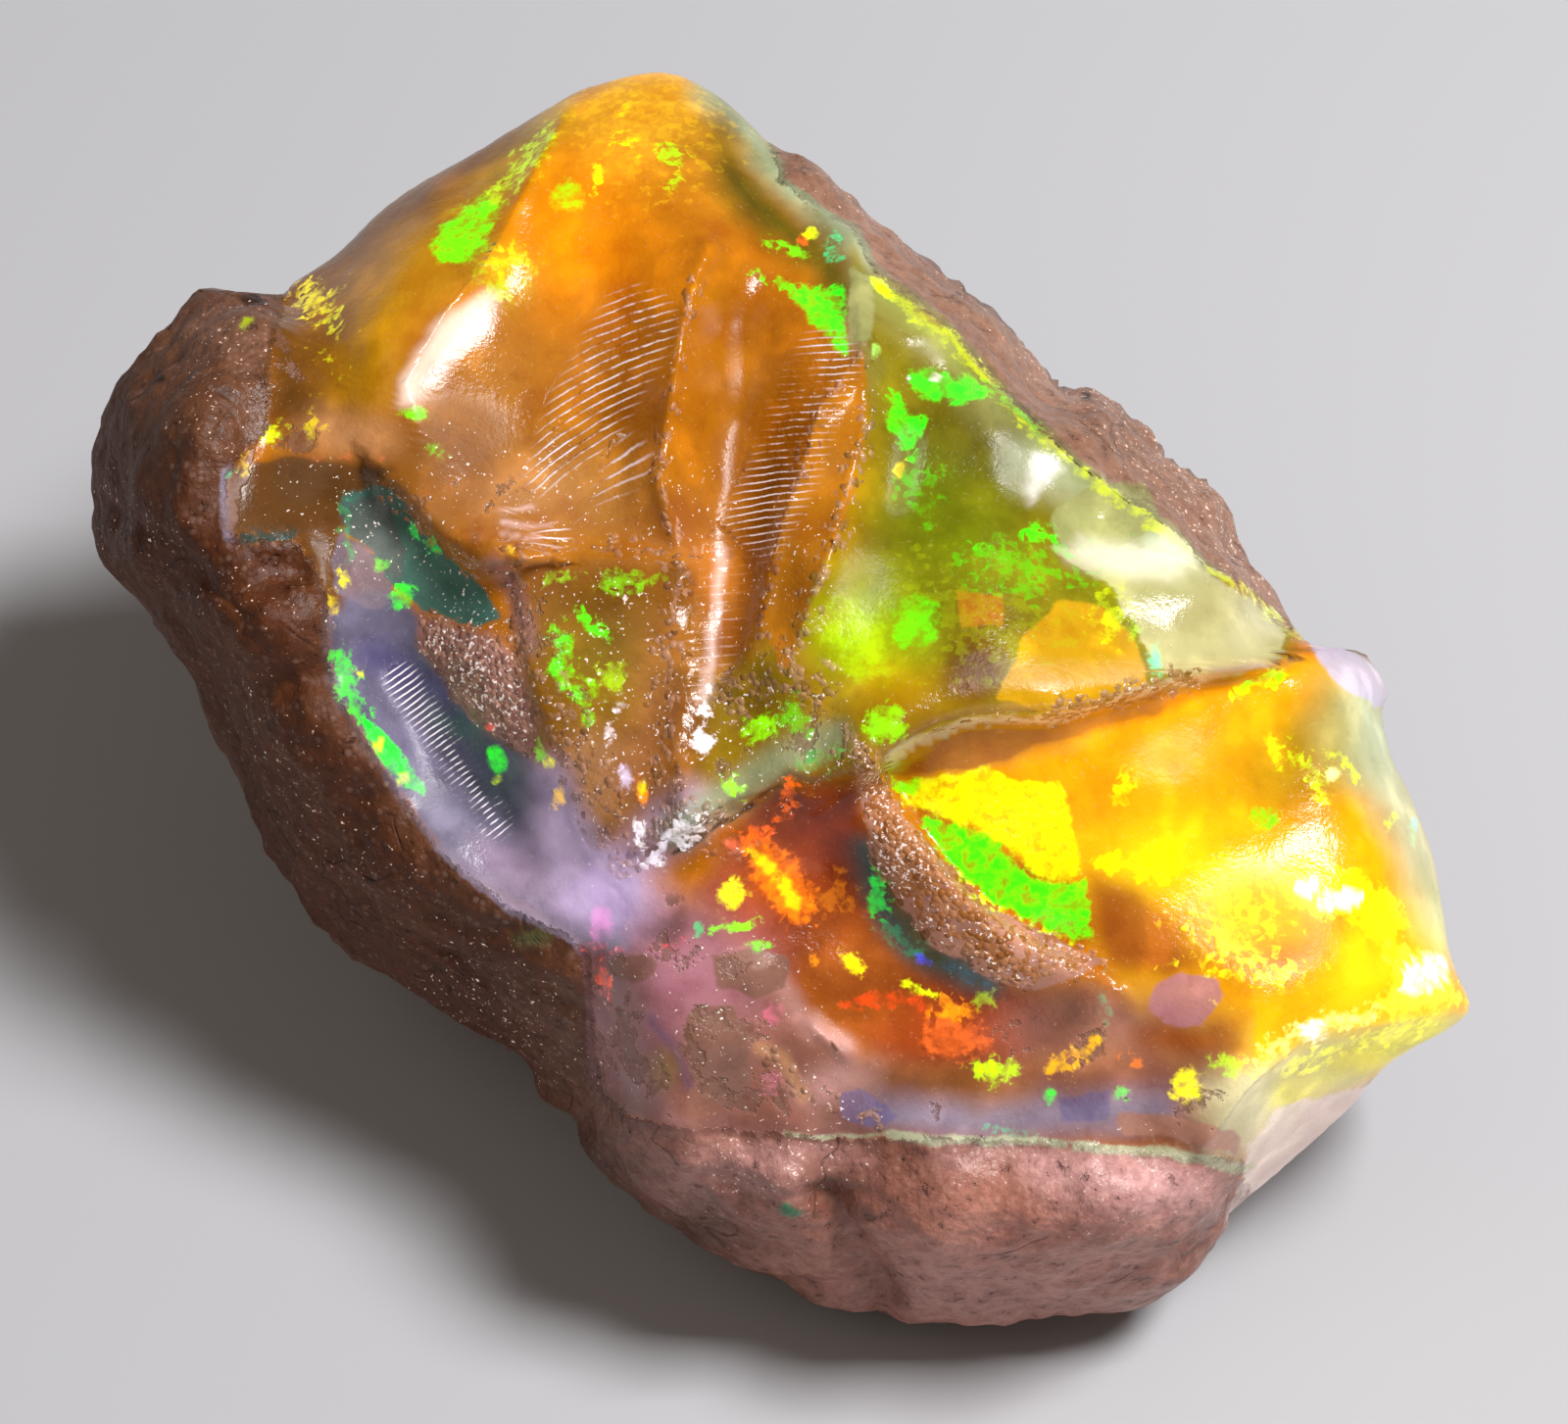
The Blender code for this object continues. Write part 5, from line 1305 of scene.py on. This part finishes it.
def paint_tints(across, up, glass, front):
    """Soft body colour of every point."""
    colour = np.zeros((len(across), 3))
    colour[:] = linear("rind_brown")
    colour[glass > 0.0] = linear("amber")
    for shape, name, strength, softness in TINTS:
        near, here = soft_share(shape, strength, softness, across, up, front)
        on_rind = name.startswith("rind")
        here = here * ((glass[near] <= 0.0) if on_rind else (glass[near] > -GLASS_ROOM))
        colour[near] += (np.array(linear(name)) - colour[near]) * here[:, None]
    return colour


def paint_crisp(layers, across, up, front):
    """Colour and edge gap of crisp layers: rgb, cover, and each layer's numbers."""
    colour = np.zeros((len(across), 4))
    numbers = np.zeros((len(across), 2))
    for shape, shade, *more in layers:
        strength, softness, scales = (more + [PATCH_EDGE, 0.0])[:3]
        softness *= EDGE_FADE
        near = near_shape(shape, 3.0 * softness + EDGE_ROOM, across, up)
        near = near[front[near]]
        gap = shape_gap(shape, across[near], up[near])
        here = np.clip(0.5 + gap / (2.0 * softness), 0.0, 1.0)
        on_top = (here > 0.5) | (here >= colour[near, 3])
        chosen = near[(gap > -softness - EDGE_ROOM) & on_top]
        colour[chosen, :3] = linear(shade)
        numbers[chosen] = strength, scales
        colour[near, 3] = np.maximum(colour[near, 3], here)
    return colour, numbers


def paint_glows_and_highlights(across, up, front):
    """Painted light of every point: soft coloured glow, highlights and sheen."""
    light = np.zeros((len(across), 4))
    for shape, shade, strength, softness in GLOWS_AND_HIGHLIGHTS:
        near, here = soft_share(shape, strength, softness, across, up, front)
        glow = np.array(linear(shade)) * here[:, None]
        light[near, :3] = np.maximum(light[near, :3], glow)
    return light


def hackle_lines(across, up, front):
    """Phase of the hackle lines in turns, how strongly they show, and their painted highlight."""
    phase = np.zeros(len(across))
    amount = np.zeros(len(across))
    second = np.zeros(len(across))
    pale = np.zeros(len(across))
    for kind, strip, centre, gap, strength, highlight_strength in HACKLES:
        near, here = soft_share(strip, strength, HACKLE_EDGE, across, up, front)
        middle = face_points([centre])[0]
        aside = across[near] - middle[0]
        above = up[near] - middle[1]
        if kind == "arc":
            turns = np.hypot(aside, above) * SQUARES_PER_MM / gap
        else:
            turns = np.degrees(np.arctan2(above, aside)) / gap
        taken = here > amount[near]
        phase[near[taken]] = turns[taken]
        pale[near[taken]] = highlight_strength
        # where two sets of lines meet, both fade out
        second[near] = np.maximum(second[near], np.minimum(amount[near], here))
        amount[near] = np.maximum(amount[near], here)
    amount = np.clip(amount - HACKLE_CLASH * second, 0.0, 1.0)
    return phase, amount, pale * amount


def store(mesh, name, values):
    """Keep four numbers for each vertex under a name."""
    layer = mesh.attributes.new(name, "FLOAT_COLOR", "POINT")
    layer.data.foreach_set("color", np.ascontiguousarray(values, dtype=np.float32).ravel())


def add_node(tree, kind, settings=None, links=None):
    """Add a node, then give its sockets values or links from other sockets."""
    node = tree.nodes.new(kind)
    for name, value in (settings or {}).items():
        setattr(node, name, value)
    for name, value in (links or {}).items():
        socket = node.inputs[name]
        if isinstance(value, bpy.types.NodeSocket):
            tree.links.new(value, socket)
        else:
            socket.default_value = value
    return node


class OPAL_PG_shape(bpy.types.PropertyGroup):
    """Sizes of the nodule's surface."""

    rows: bpy.props.IntProperty(
        name="Rows",
        description="Rows of faces along each side of the cube that is shaped into the stone",
        default=128,
        min=8,
        max=128,
    )
    face_tilt: bpy.props.FloatProperty(
        name="Face Tilt",
        description="How far the broken face leans back from upright",
        default=math.radians(55.0),
        subtype="ANGLE",
    )
    row_gap: bpy.props.FloatProperty(
        name="Row Gap",
        description="Distance between rows on the broken face",
        default=0.2 * MM,
        unit="LENGTH",
    )
    crest_round: bpy.props.FloatProperty(
        name="Crest Rounding",
        description="How blunt the sharp crests are",
        default=0.12 * MM,
        unit="LENGTH",
    )
    ledge_width: bpy.props.FloatProperty(
        name="Ledge Width",
        description="Width of the slope of each ledge",
        default=0.28 * MM,
        unit="LENGTH",
    )
    rind_lumps: bpy.props.FloatProperty(
        name="Rind Lumps",
        description="Height of the larger lumps of the rind",
        default=0.45 * MM,
        unit="LENGTH",
    )
    rind_grain: bpy.props.FloatProperty(
        name="Rind Grain",
        description="Height of the small lumps of the rind",
        default=0.06 * MM,
        unit="LENGTH",
    )
    sand_height: bpy.props.FloatProperty(
        name="Sand Height",
        description="Height of the sand grains that stick to the ledges",
        default=0.22 * MM,
        unit="LENGTH",
    )


class OPAL_PG_finish(bpy.types.PropertyGroup):
    """Finish of the glass and the rind."""

    glass_roughness: bpy.props.FloatProperty(
        name="Glass Roughness",
        description="Roughness of the broken opal",
        default=0.17,
        min=0.0,
        max=1.0,
        subtype="FACTOR",
    )
    rind_roughness: bpy.props.FloatProperty(
        name="Rind Roughness",
        description="Roughness of the wet-looking rind",
        default=0.34,
        min=0.0,
        max=1.0,
        subtype="FACTOR",
    )
    glow: bpy.props.FloatProperty(
        name="Glow",
        description="How much light seems to come back out of the glass",
        default=0.10,
        min=0.0,
        max=1.0,
    )
    hackle_height: bpy.props.FloatProperty(
        name="Hackle Height",
        description="Height of the fine steps that the break left on the glass",
        default=0.11 * MM,
        unit="LENGTH",
    )
    fire_power: bpy.props.FloatProperty(
        name="Fire",
        description="Brightness of the play of colour",
        default=0.45,
        min=0.0,
        max=4.0,
    )


class OPAL_PG_stage(bpy.types.PropertyGroup):
    """Floor, lights and camera."""

    floor_colour: bpy.props.FloatVectorProperty(
        name="Floor",
        description="Colour of the plain pale floor",
        default=linear("#C4C4C8"),
        size=3,
        min=0.0,
        max=1.0,
        subtype="COLOR",
    )
    key_power: bpy.props.FloatProperty(
        name="Key Light",
        description="Power of the soft light at the upper right",
        default=3.0,
        min=0.0,
    )
    fill_power: bpy.props.FloatProperty(
        name="Fill Light",
        description="Power of the soft light at the upper left",
        default=0.24,
        min=0.0,
    )
    low_power: bpy.props.FloatProperty(
        name="Low Light",
        description="Power of the soft light in front, near the floor",
        default=0.6,
        min=0.0,
    )
    sky: bpy.props.FloatProperty(
        name="Sky",
        description="Strength of the even light from all round",
        default=0.13,
        min=0.0,
    )
    lens: bpy.props.FloatProperty(
        name="Lens",
        description="Focal length of the camera in millimetres",
        default=135.1,
        min=10.0,
    )


def glass_in_rind(finish):
    """Precious fire opal, a hydrated silica glass, broken out of its brown rind.

    The broken glass has a fatty, almost wet gloss and lets light in a little way.
    The rind is weathered clay and ironstone, granular, with a damp sheen.
    """
    material = bpy.data.materials.new("precious_opal_in_ironstone_rind")
    material.use_nodes = True
    material.cycles.emission_sampling = "NONE"
    tree = material.node_tree
    shader = tree.nodes["Principled BSDF"]
    shader.inputs["IOR"].default_value = 1.40

    def calc(operation, first, second=0.0, third=0.0, clamp=False):
        return add_node(
            tree,
            "ShaderNodeMath",
            {"operation": operation, "use_clamp": clamp},
            {0: first, 1: second, 2: third},
        ).outputs[0]

    def times(first, second, clamp=False):
        return calc("MULTIPLY", first, second, clamp=clamp)

    def plus(first, second):
        return calc("ADD", first, second)

    def larger(first, second):
        return calc("MAXIMUM", first, second)

    def scale_add(value, scale, shift, clamp=False):
        return calc("MULTIPLY_ADD", value, scale, shift, clamp)

    def mix(share, first, second, blend="MIX"):
        colours = [
            (*linear(colour), 1.0) if isinstance(colour, str) else colour
            for colour in (first, second)
        ]
        return add_node(
            tree,
            "ShaderNodeMix",
            {"data_type": "RGBA", "blend_type": blend},
            {0: share, 6: colours[0], 7: colours[1]},
        ).outputs[2]

    def blend(share, first, second):
        return add_node(
            tree, "ShaderNodeMix", {"data_type": "FLOAT"}, {0: share, 2: first, 3: second}
        ).outputs[0]

    def ramp(value, low, high):
        return add_node(
            tree,
            "ShaderNodeMapRange",
            {"clamp": True, "interpolation_type": "SMOOTHSTEP"},
            {"Value": value, "From Min": low, "From Max": high},
        ).outputs[0]

    def attribute(name):
        node = add_node(tree, "ShaderNodeAttribute", {"attribute_name": name})
        return node.outputs["Color"], node.outputs["Alpha"]

    def channels(colour):
        return add_node(tree, "ShaderNodeSeparateColor", None, {0: colour}).outputs

    def grain(size, detail, roughness=0.55):
        return add_node(
            tree,
            "ShaderNodeTexNoise",
            None,
            {"Vector": where, "Scale": 1.0 / (size * MM), "Detail": detail,
             "Roughness": roughness},
        ).outputs["Fac"]

    where = add_node(tree, "ShaderNodeTexCoord").outputs["Object"]
    tint, cloud = attribute("tint")
    patch, patch_cover = attribute("patch")
    fire, fire_cover = attribute("fire")
    glow, mottle = attribute("glow")
    zones, scales = attribute("zones")
    marks, patch_strength = attribute("marks")
    relief, dull = attribute("relief")
    wrinkle, matrix, glint_share = channels(relief)[:3]
    glass_gap, sand, power = channels(zones)[:3]
    hackle_phase, hackle_amount, hackle_highlight_share = channels(marks)[:3]

    coarse = grain(COARSE_GRAIN, 4.0, 0.62)
    fine = grain(FINE_GRAIN, 2.0)
    cells = add_node(
        tree, "ShaderNodeTexVoronoi", None, {"Vector": where, "Scale": 1.0 / (CELL_GRAIN * MM)}
    )
    cell_shade = channels(cells.outputs["Color"])
    dome = times(cells.outputs["Distance"], cells.outputs["Distance"])
    dome = scale_add(dome, -2.4, 1.0, clamp=True)
    jitter = plus(scale_add(coarse, 1.1, -0.55), scale_add(fine, 0.5, -0.25))

    # the ragged line between glass and rind
    glass = ramp(scale_add(jitter, 0.9, glass_gap), -0.08, 0.08)
    rind = calc("SUBTRACT", 1.0, glass)

    # patches of colour with a crisp edge, in the glass and on the rind
    patch_mask = ramp(scale_add(jitter, 0.35, patch_cover), 0.35, 0.65)
    body = mix(times(patch_mask, patch_strength), tint, patch)

    # rind: clay stained by iron, with painted shade in its pits and creases,
    # and a few pale grains
    crease = ramp(calc("ABSOLUTE", wrinkle), 0.05, 0.0)
    crease = times(crease, ramp(cloud, 0.55, 0.75))
    pit = ramp(coarse, 0.38, 0.30)
    colour = mix(times(cloud, 0.35), body, "iron_stain")
    colour = mix(times(ramp(coarse, 0.62, 0.42), 0.30), colour, "rind_shade", "MULTIPLY")
    colour = mix(times(larger(crease, pit), 0.35), colour, "crease")
    pale = times(ramp(cell_shade[0], 0.70, 1.0), dome)
    rind_colour = mix(times(pale, 0.16), colour, "pale_grain")

    # painted glints: small irregular chips drawn near white, with a little glow
    chip_glint = scale_add(coarse, 0.25, scale_add(glint_share, 0.10, fine))
    chip_glint = times(ramp(chip_glint, 0.835, 0.875), ramp(glint_share, 0.02, 0.12))

    # glass: body colour with clouds
    light_veil = times(ramp(mottle, 0.5, 0.9), 0.35)
    colour = mix(light_veil, body, body, "ADD")
    dark_veil = times(ramp(mottle, 0.5, 0.1), 0.28)
    colour = mix(dark_veil, colour, body, "MULTIPLY")
    colour = mix(times(ramp(coarse, 0.50, 0.28), 0.16), colour, body, "MULTIPLY")
    # pale specks that stand in for tiny glints: painted glints
    glint_speck_share = times(ramp(fine, 0.64, 0.74), 0.12)
    colour = mix(glint_speck_share, colour, "glint_speck")

    # brown matrix grown into the glass
    brown = scale_add(jitter, 0.8, plus(mottle, matrix))
    brown = times(ramp(brown, 0.93, 1.09), ramp(matrix, 0.0, 0.12))
    matrix_colour = mix(times(cell_shade[1], 0.5), "matrix_dark", "matrix_light")
    colour = mix(times(brown, 0.7), colour, matrix_colour)

    # hackles: a slow rise, a sharp drop, and a pale painted highlight along the drop
    turns = calc("FRACT", scale_add(jitter, 0.25, hackle_phase))
    drop = ramp(turns, 1.0, 0.76)
    hackle = times(turns, drop)
    edge = times(ramp(turns, 0.66, 0.80), ramp(turns, 0.98, 0.86))
    broken = ramp(scale_add(cloud, 0.5, coarse), 0.50, 0.78)
    edge = times(edge, larger(broken, ramp(hackle_highlight_share, 2.2, 4.0)))
    edge = times(edge, hackle_highlight_share)
    colour = mix(edge, colour, "hackle_highlight")

    # sand grains: each one its own shade of brown, pink or straw
    sand_colour = mix(cell_shade[0], "sand_brown", "sand_straw")
    sand_colour = mix(0.5, sand_colour, tint)
    sand_edge = scale_add(cell_shade[1], -0.8, sand)
    sandy = ramp(sand_edge, 0.0, 0.12)
    glass_colour = mix(sandy, colour, sand_colour)

    # play of colour: solid flashes, and flashes broken into small scales
    reach = scale_add(scales, 0.9, 0.45)
    lit = scale_add(jitter, reach, fire_cover)
    shift = times(calc("SUBTRACT", 0.42, cell_shade[2]), scales)
    lit = ramp(scale_add(shift, 1.0, lit), 0.36, 0.78)
    lit = times(lit, glass)
    shimmer = scale_add(cell_shade[1], 0.4, 0.30)
    shimmer = plus(shimmer, times(ramp(coarse, 0.36, 0.62), 0.95))
    shine = times(times(lit, power), shimmer)
    flash = mix(times(cell_shade[0], 0.14), fire, "flash_warmth", "ADD")
    flash_share = times(shine, 0.62, clamp=True)
    colour = mix(flash_share, glass_colour, flash)
    colour = mix(rind, colour, rind_colour)
    chip_glint_colour = mix(rind, "glass_chip_glint", "rind_chip_glint")
    colour = mix(times(chip_glint, 0.85), colour, chip_glint_colour)
    tree.links.new(colour, shader.inputs["Base Color"])

    # painted light: emission that stands in for light let into the glass, plus the painted glows,
    # highlights and sheen, and the flashes of fire
    inner = mix(times(glass, finish.glow), "black", glass_colour)
    soft = mix(times(glass, scale_add(mottle, 0.9, 0.6)), "black", glow)
    bright = mix(times(shine, finish.fire_power), "black", flash)
    light = mix(1.0, mix(1.0, inner, soft, "ADD"), bright, "ADD")
    # painted glints on the chips and on the hackle edges
    light = mix(larger(times(chip_glint, 0.25), times(edge, 0.22)), light, "glint")
    tree.links.new(light, shader.inputs["Emission Color"])
    shader.inputs["Emission Strength"].default_value = 1.0

    glass_rough = scale_add(fine, 0.16, finish.glass_roughness - 0.08)
    glass_rough = scale_add(larger(brown, sandy), 0.2, glass_rough)
    rind_rough = scale_add(fine, 0.3, finish.rind_roughness - 0.15)
    rough = scale_add(dull, 0.3, blend(rind, glass_rough, rind_rough))
    tree.links.new(rough, shader.inputs["Roughness"])

    # relief too fine for the mesh, in millimetres
    hackle = times(hackle, times(hackle_amount, finish.hackle_height / MM))
    glass_relief = plus(hackle, times(coarse, FINE_RELIEF["glass_coarse"]))
    glass_relief = plus(glass_relief, times(fine, FINE_RELIEF["glass_fine"]))
    grain_top = times(times(dome, sandy), FINE_RELIEF["sand"])
    glass_relief = plus(glass_relief, grain_top)
    rough_patch = times(brown, times(coarse, FINE_RELIEF["matrix"]))
    glass_relief = calc("SUBTRACT", glass_relief, rough_patch)
    rind_relief = times(larger(crease, pit), FINE_RELIEF["rind_pit"])
    rind_relief = plus(rind_relief, times(coarse, FINE_RELIEF["rind_coarse"]))
    grain_top = times(ramp(cell_shade[1], 0.45, 1.0), dome)
    rind_relief = plus(rind_relief, times(grain_top, FINE_RELIEF["rind_grain"]))
    bump = add_node(
        tree,
        "ShaderNodeBump",
        None,
        {"Strength": 1.0, "Distance": MM, "Height": blend(rind, glass_relief, rind_relief)},
    )
    tree.links.new(bump.outputs[0], shader.inputs["Normal"])
    return material


class OPAL_OT_add_nodule(bpy.types.Operator):
    """Shape the nodule: rind, broken face, sand, tints and fire"""

    bl_idname = "opal.add_nodule"
    bl_label = "Add Nodule"

    def execute(self, context):
        shape = context.scene.opal_shape
        stone = bmesh.new()
        bmesh.ops.create_cube(stone, size=2.0)
        bmesh.ops.subdivide_edges(
            stone, edges=stone.edges[:], cuts=shape.rows - 1, use_grid_fill=True
        )
        corners = ball_directions([vertex.co[:] for vertex in stone.verts])
        centres = ball_directions([face.calc_center_median()[:] for face in stone.faces])
        places, across, up, behind = stone_points(corners, shape)
        for vertex, place in zip(stone.verts, places * MM):
            vertex.co = place
        middles = stone_points(centres, shape)[0]
        split_quads(stone, middles * MM)
        bmesh.ops.recalc_face_normals(stone, faces=stone.faces[:])

        front = behind <= 0.0
        glass = area_gap(face_points(GLASS_EDGE), across, up) - GLASS_WRAP * behind
        sand = spread_amount(SAND, across, up, front) * (glass > 0.0)
        mottle = np.clip(0.5 + MOTTLE_CONTRAST * noise_field(places, "mottle"), 0.0, 1.0)
        cloud = np.clip(0.5 + CLOUD_CONTRAST * noise_field(places, "cloud"), 0.0, 1.0)
        # shapes drawn on the sheet get uneven sides
        ragged_across = across + RAGGED * noise_field(places, "ragged_across")
        ragged_up = up + RAGGED * noise_field(places, "ragged_up")
        rind = 1.0 - cover(glass, RIND_JOIN)
        lumps = noise_field(places, "rind_lumps") * shape.rind_lumps * rind
        lumps += noise_field(places, "rind_grain") * shape.rind_grain * rind
        for line, depth, half_width in WRINKLES:
            distance, _ = line_gap(line, ragged_across, ragged_up)
            fold = np.exp(-((distance / half_width) ** 2))
            lumps -= depth * MM * fold * rind * front
        lumps += np.abs(noise_field(places, "sand_grains")) * shape.sand_height * sand
        lumps += noise_field(places, "glass_waves") * GLASS_WAVES * MM * (1.0 - rind)
        lumps *= np.clip(places[:, 2] / FOOT, 0.0, 1.0)
        stone.normal_update()
        for vertex, rise in zip(stone.verts, lumps):
            vertex.co += vertex.normal * rise
            vertex.co.z = max(vertex.co.z, 0.0)

        mesh = bpy.data.meshes.new("opal_nodule")
        stone.to_mesh(mesh)
        stone.free()
        mesh.shade_smooth()
        tint = paint_tints(ragged_across, ragged_up, glass, front)
        patch, patch_numbers = paint_crisp(PATCHES, ragged_across, ragged_up, front)
        fire, fire_numbers = paint_crisp(FIRE, ragged_across, ragged_up, front)
        glow = paint_glows_and_highlights(ragged_across, ragged_up, front)
        glow[:, 3] = mottle
        phase, amount, pale = hackle_lines(
            (1.0 - HACKLE_RAGGED) * across + HACKLE_RAGGED * ragged_across,
            (1.0 - HACKLE_RAGGED) * up + HACKLE_RAGGED * ragged_up,
            front,
        )
        crease = noise_field(places, "crease")
        glass = np.clip(glass, -GLASS_REACH, GLASS_REACH)
        store(mesh, "tint", np.column_stack([tint, cloud]))
        store(mesh, "patch", patch)
        store(mesh, "fire", fire)
        matrix = spread_amount(MATRIX, ragged_across, ragged_up, front)
        glint_share = spread_amount(GLINT_SPOTS, across, up, front)
        glint_share = np.maximum(glint_share, SAND_GLINTS * sand)
        dull = spread_amount(DULL, across, up, front)
        store(mesh, "relief", np.column_stack([crease, matrix, glint_share, dull]))
        store(mesh, "glow", glow)
        store(mesh, "zones", np.column_stack([glass, sand, fire_numbers]))
        store(mesh, "marks", np.column_stack([phase, amount, pale, patch_numbers[:, 0]]))
        mesh.materials.append(glass_in_rind(context.scene.opal_finish))
        nodule = bpy.data.objects.new("opal_nodule", mesh)
        context.scene.collection.objects.link(nodule)
        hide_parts("rough_fire_opal")
        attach(nodule, "root")
        return {"FINISHED"}


class OPAL_OT_add_stage(bpy.types.Operator):
    """Add the plain floor, the soft lights and the camera"""

    bl_idname = "opal.add_stage"
    bl_label = "Add Stage"

    def execute(self, context):
        scene = context.scene
        stage = scene.opal_stage
        shape = scene.opal_shape

        ground = bmesh.new()
        bmesh.ops.create_grid(ground, x_segments=1, y_segments=1, size=FLOOR_HALF)
        mesh = bpy.data.meshes.new("floor")
        ground.to_mesh(mesh)
        ground.free()
        paper = bpy.data.materials.new("matt_paper_floor")
        paper.use_nodes = True
        sheet = paper.node_tree.nodes["Principled BSDF"]
        sheet.inputs["Base Color"].default_value = (*stage.floor_colour, 1.0)
        sheet.inputs["Roughness"].default_value = FLOOR_ROUGHNESS
        mesh.materials.append(paper)
        floor = bpy.data.objects.new("floor", mesh)
        scene.collection.objects.link(floor)

        world = bpy.data.worlds.new("even_sky")
        scene.world = world
        world.use_nodes = True
        backdrop = world.node_tree.nodes["Background"]
        backdrop.inputs["Color"].default_value = (*linear(SKY_COLOUR), 1.0)
        backdrop.inputs["Strength"].default_value = stage.sky

        # the middle of the sheet and its own directions, in the room
        tilt = shape.face_tilt
        middle = Vector((-ORIGIN[0], -ORIGIN[1], -GROUND)) * MM
        across = Vector((1.0, 0.0, 0.0))
        up = Vector((0.0, math.sin(tilt), math.cos(tilt)))
        out = Vector((0.0, -math.cos(tilt), math.sin(tilt)))

        powers = (stage.key_power, stage.fill_power, stage.low_power)
        for (name, direction, distance, size, shade), power in zip(LIGHTS, powers):
            lamp = bpy.data.lights.new(name, "AREA")
            lamp.shape = "SQUARE"
            lamp.size = size
            lamp.energy = power
            lamp.color = linear(shade)
            holder = bpy.data.objects.new(name, lamp)
            side, lift, ahead = direction
            away = (across * side + up * lift + out * ahead).normalized()
            holder.location = middle + away * distance
            holder.rotation_euler = away.to_track_quat("Z", "Y").to_euler()
            scene.collection.objects.link(holder)

        lens = bpy.data.cameras.new("camera")
        lens.lens = stage.lens
        lens.sensor_width = SENSOR_WIDTH
        lens.clip_start = NEAR_CLIP
        camera = bpy.data.objects.new("camera", lens)
        frame_middle = up * ((SHEET_MIDDLE[1] - FRAME_MIDDLE) / SQUARES_PER_MM * MM)
        camera.location = middle + frame_middle + out * EYE_DISTANCE * MM
        camera.rotation_euler = Euler((math.pi / 2.0 - tilt, 0.0, 0.0))
        scene.collection.objects.link(camera)
        bpy.context.scene.camera = camera
        scene.view_settings.view_transform = "Standard"
        return {"FINISHED"}


class OPAL_PT_panel(bpy.types.Panel):
    """The opal's settings and makers in the sidebar."""

    bl_label = "Rough Fire Opal"
    bl_idname = "OPAL_PT_panel"
    bl_space_type = "VIEW_3D"
    bl_region_type = "UI"
    bl_category = "Opal"

    def draw(self, context):
        scene = context.scene
        for settings, maker in (
            (scene.opal_shape, OPAL_OT_add_nodule.bl_idname),
            (scene.opal_finish, None),
            (scene.opal_stage, OPAL_OT_add_stage.bl_idname),
        ):
            box = self.layout.box()
            for name in settings.__annotations__:
                box.prop(settings, name)
            if maker:
                box.operator(maker)


CLASSES = (
    OPAL_PG_shape,
    OPAL_PG_finish,
    OPAL_PG_stage,
    OPAL_OT_add_nodule,
    OPAL_OT_add_stage,
    OPAL_PT_panel,
)


def register():
    """Register the classes and hang their settings on the scene."""
    for item in CLASSES:
        bpy.utils.register_class(item)
    bpy.types.Scene.opal_shape = bpy.props.PointerProperty(type=OPAL_PG_shape)
    bpy.types.Scene.opal_finish = bpy.props.PointerProperty(type=OPAL_PG_finish)
    bpy.types.Scene.opal_stage = bpy.props.PointerProperty(type=OPAL_PG_stage)


def unregister():
    """Take the settings and the classes away again."""
    del bpy.types.Scene.opal_stage
    del bpy.types.Scene.opal_finish
    del bpy.types.Scene.opal_shape
    for item in reversed(CLASSES):
        bpy.utils.unregister_class(item)


def main():
    """Build the stone and its stage."""
    register()
    bpy.ops.opal.add_stage()
    bpy.ops.opal.add_nodule()


if __name__ == "__main__":
    main()
